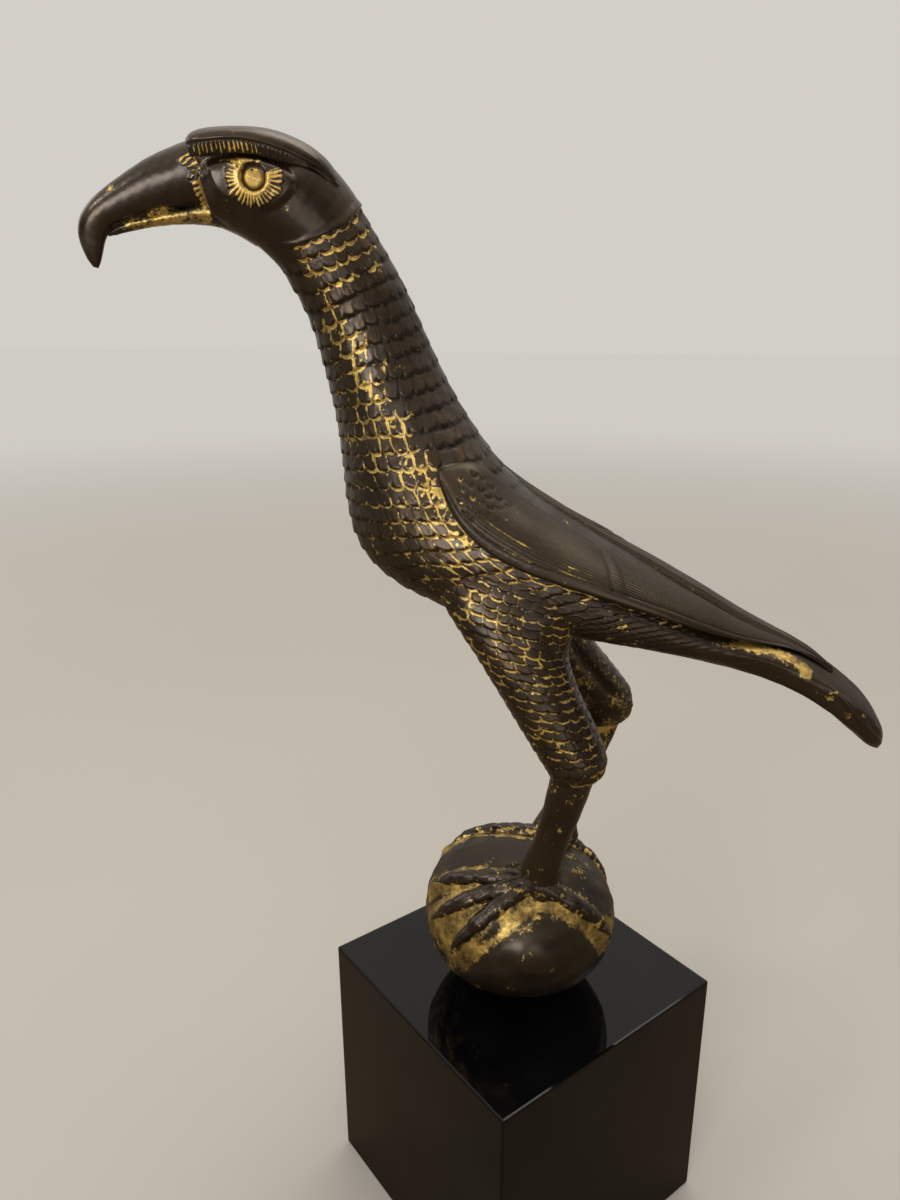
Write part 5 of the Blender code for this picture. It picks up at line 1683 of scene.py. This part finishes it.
# Painted reflection: seen in glossy surfaces, the floor turns a darker warm brown instead of its own pale tone.
in_polish = add(tree, "ShaderNodeLightPath").outputs["Is Glossy Ray"]
tone_with_painted_reflection = mix_colours(tree, in_polish, pale_tone, PAINTED_FLOOR_REFLECTION)
away = add(tree, "ShaderNodeVectorMath", {0: spot}, operation="LENGTH").outputs["Value"]
far_off = ramp_to(tree, away, FLOOR_ENDS, BACKDROP_STARTS)
tree.links.new(mix_colours(tree, far_off, tone_with_painted_reflection, BLACK), shader.inputs["Base Color"])
tree.links.new(mix_colours(tree, far_off, BLACK, BACKDROP), shader.inputs["Emission Color"])
for socket, value in (("Emission Strength", 0.64), ("Specular IOR Level", 0.0), ("Roughness", 1.0)):
    shader.inputs[socket].default_value = value
floor.data.materials.append(pale)
print("floor:", 2 * FLOOR_HALF, "m square")

# %% Room
ROOM_LIGHT = (1.0, 0.93, 0.84, 1)
ROOM_BASE, ROOM_ABOVE, ROOM_BEHIND = 0.07, 0.85, 0.28
BACKDROP_STRENGTH = 0.66

world = bpy.data.worlds.new("soft_room")
bpy.context.scene.world = world
world.use_nodes = True
tree = world.node_tree
toward = add(tree, "ShaderNodeSeparateXYZ", {0: add(tree, "ShaderNodeTexCoord").outputs["Generated"]}).outputs
above = times(tree, ramp_to(tree, toward[2], 0.15, 1.0), ROOM_ABOVE)
behind = times(tree, ramp_to(tree, toward[1], -0.5, 0.9), ROOM_BEHIND)
glow = plus(tree, plus(tree, above, behind), ROOM_BASE)
seen_by_camera = add(tree, "ShaderNodeLightPath").outputs["Is Camera Ray"]
background = tree.nodes["Background"].inputs
tree.links.new(mix_colours(tree, seen_by_camera, ROOM_LIGHT, BACKDROP), background["Color"])
tree.links.new(mix_values(tree, seen_by_camera, glow, BACKDROP_STRENGTH), background["Strength"])
print("room: light", ROOM_BASE, "all round,", ROOM_ABOVE, "more from above and", ROOM_BEHIND, "from behind")

# %% Lamps
MIDDLE, FACE = (0.0, 0.0, 0.25), (-0.1, 0.0, 0.35)
LAMP_WARM, LAMP_WHITE = (1.0, 0.96, 0.90), (1.0, 0.98, 0.96)


def stand(name, data, turn, place):
    """A new object with the columns of turn as its axes, at a place; its matrix is written whole."""
    thing = bpy.data.objects.new(name, data)
    thing.matrix_world = Matrix([[*turn[k], place[k]] for k in range(3)] + [[0, 0, 0, 1]])
    bpy.context.scene.collection.objects.link(thing)
    return thing


def lamp(name, place, aim, size, power, colour=LAMP_WARM):
    """A square soft lamp at a place, turned to shine at an aim."""
    light = bpy.data.lights.new(name, "AREA")
    light.size, light.energy, light.color = size, power, colour
    away = np.array(place, float) - np.array(aim, float)
    away /= np.linalg.norm(away)
    side = np.cross((0.0, 0.0, 1.0), away)
    side /= np.linalg.norm(side)
    stand(name, light, np.stack([side, np.cross(away, side), away], axis=1), place)


lamp("overhead", (0.35, 0.55, 2.1), MIDDLE, 1.5, 17.0)
lamp("front_left", (-1.3, -1.2, 1.6), MIDDLE, 0.30, 6.5)
lamp("over_the_camera", (0.18, -1.25, 1.15), MIDDLE, 0.45, 1.0)
lamp("left_soft", (-1.8, 0.3, 1.0), MIDDLE, 1.0, 5.0)
lamp("beak_side", (-0.30, -1.26, 0.60), FACE, 0.45, 6.0, LAMP_WHITE)
lamp("cheek_side", (0.50, -1.30, 0.40), FACE, 0.6, 1.8)
print("lamps:", len(bpy.data.lights))

# %% [markdown]
# The camera stands where the picture was taken from. Its heading, pitch and roll were found by matching the
# block's corners and the bird's outline. It could be aimed at a target, but then it would have no roll of its
# own.

# %% Camera
CAMERA_PLACE = (0.03880723, -0.28025111, 0.33967)
HEADING, PITCH, ROLL = math.radians(-13.01), math.radians(18.388), math.radians(-0.26)
FOCAL_MM, SENSOR_MM = 27.0, 36.0

ahead = np.array([math.sin(HEADING) * math.cos(PITCH), math.cos(HEADING) * math.cos(PITCH), -math.sin(PITCH)])
level = np.array([math.cos(HEADING), -math.sin(HEADING), 0.0])
upright = np.cross(level, ahead)
right = level * math.cos(ROLL) + upright * math.sin(ROLL)
upright = upright * math.cos(ROLL) - level * math.sin(ROLL)
lens = bpy.data.cameras.new("camera")
lens.sensor_fit = "AUTO"
lens.sensor_width = SENSOR_MM
lens.lens = FOCAL_MM
lens.clip_start = 0.01
bpy.context.scene.camera = stand("camera", lens, np.stack([right, upright, -ahead], axis=1), CAMERA_PLACE)
bpy.context.scene.view_settings.view_transform = "Standard"
print("camera:", FOCAL_MM, "mm lens,", round(CAMERA_PLACE[2], 3), "m up")
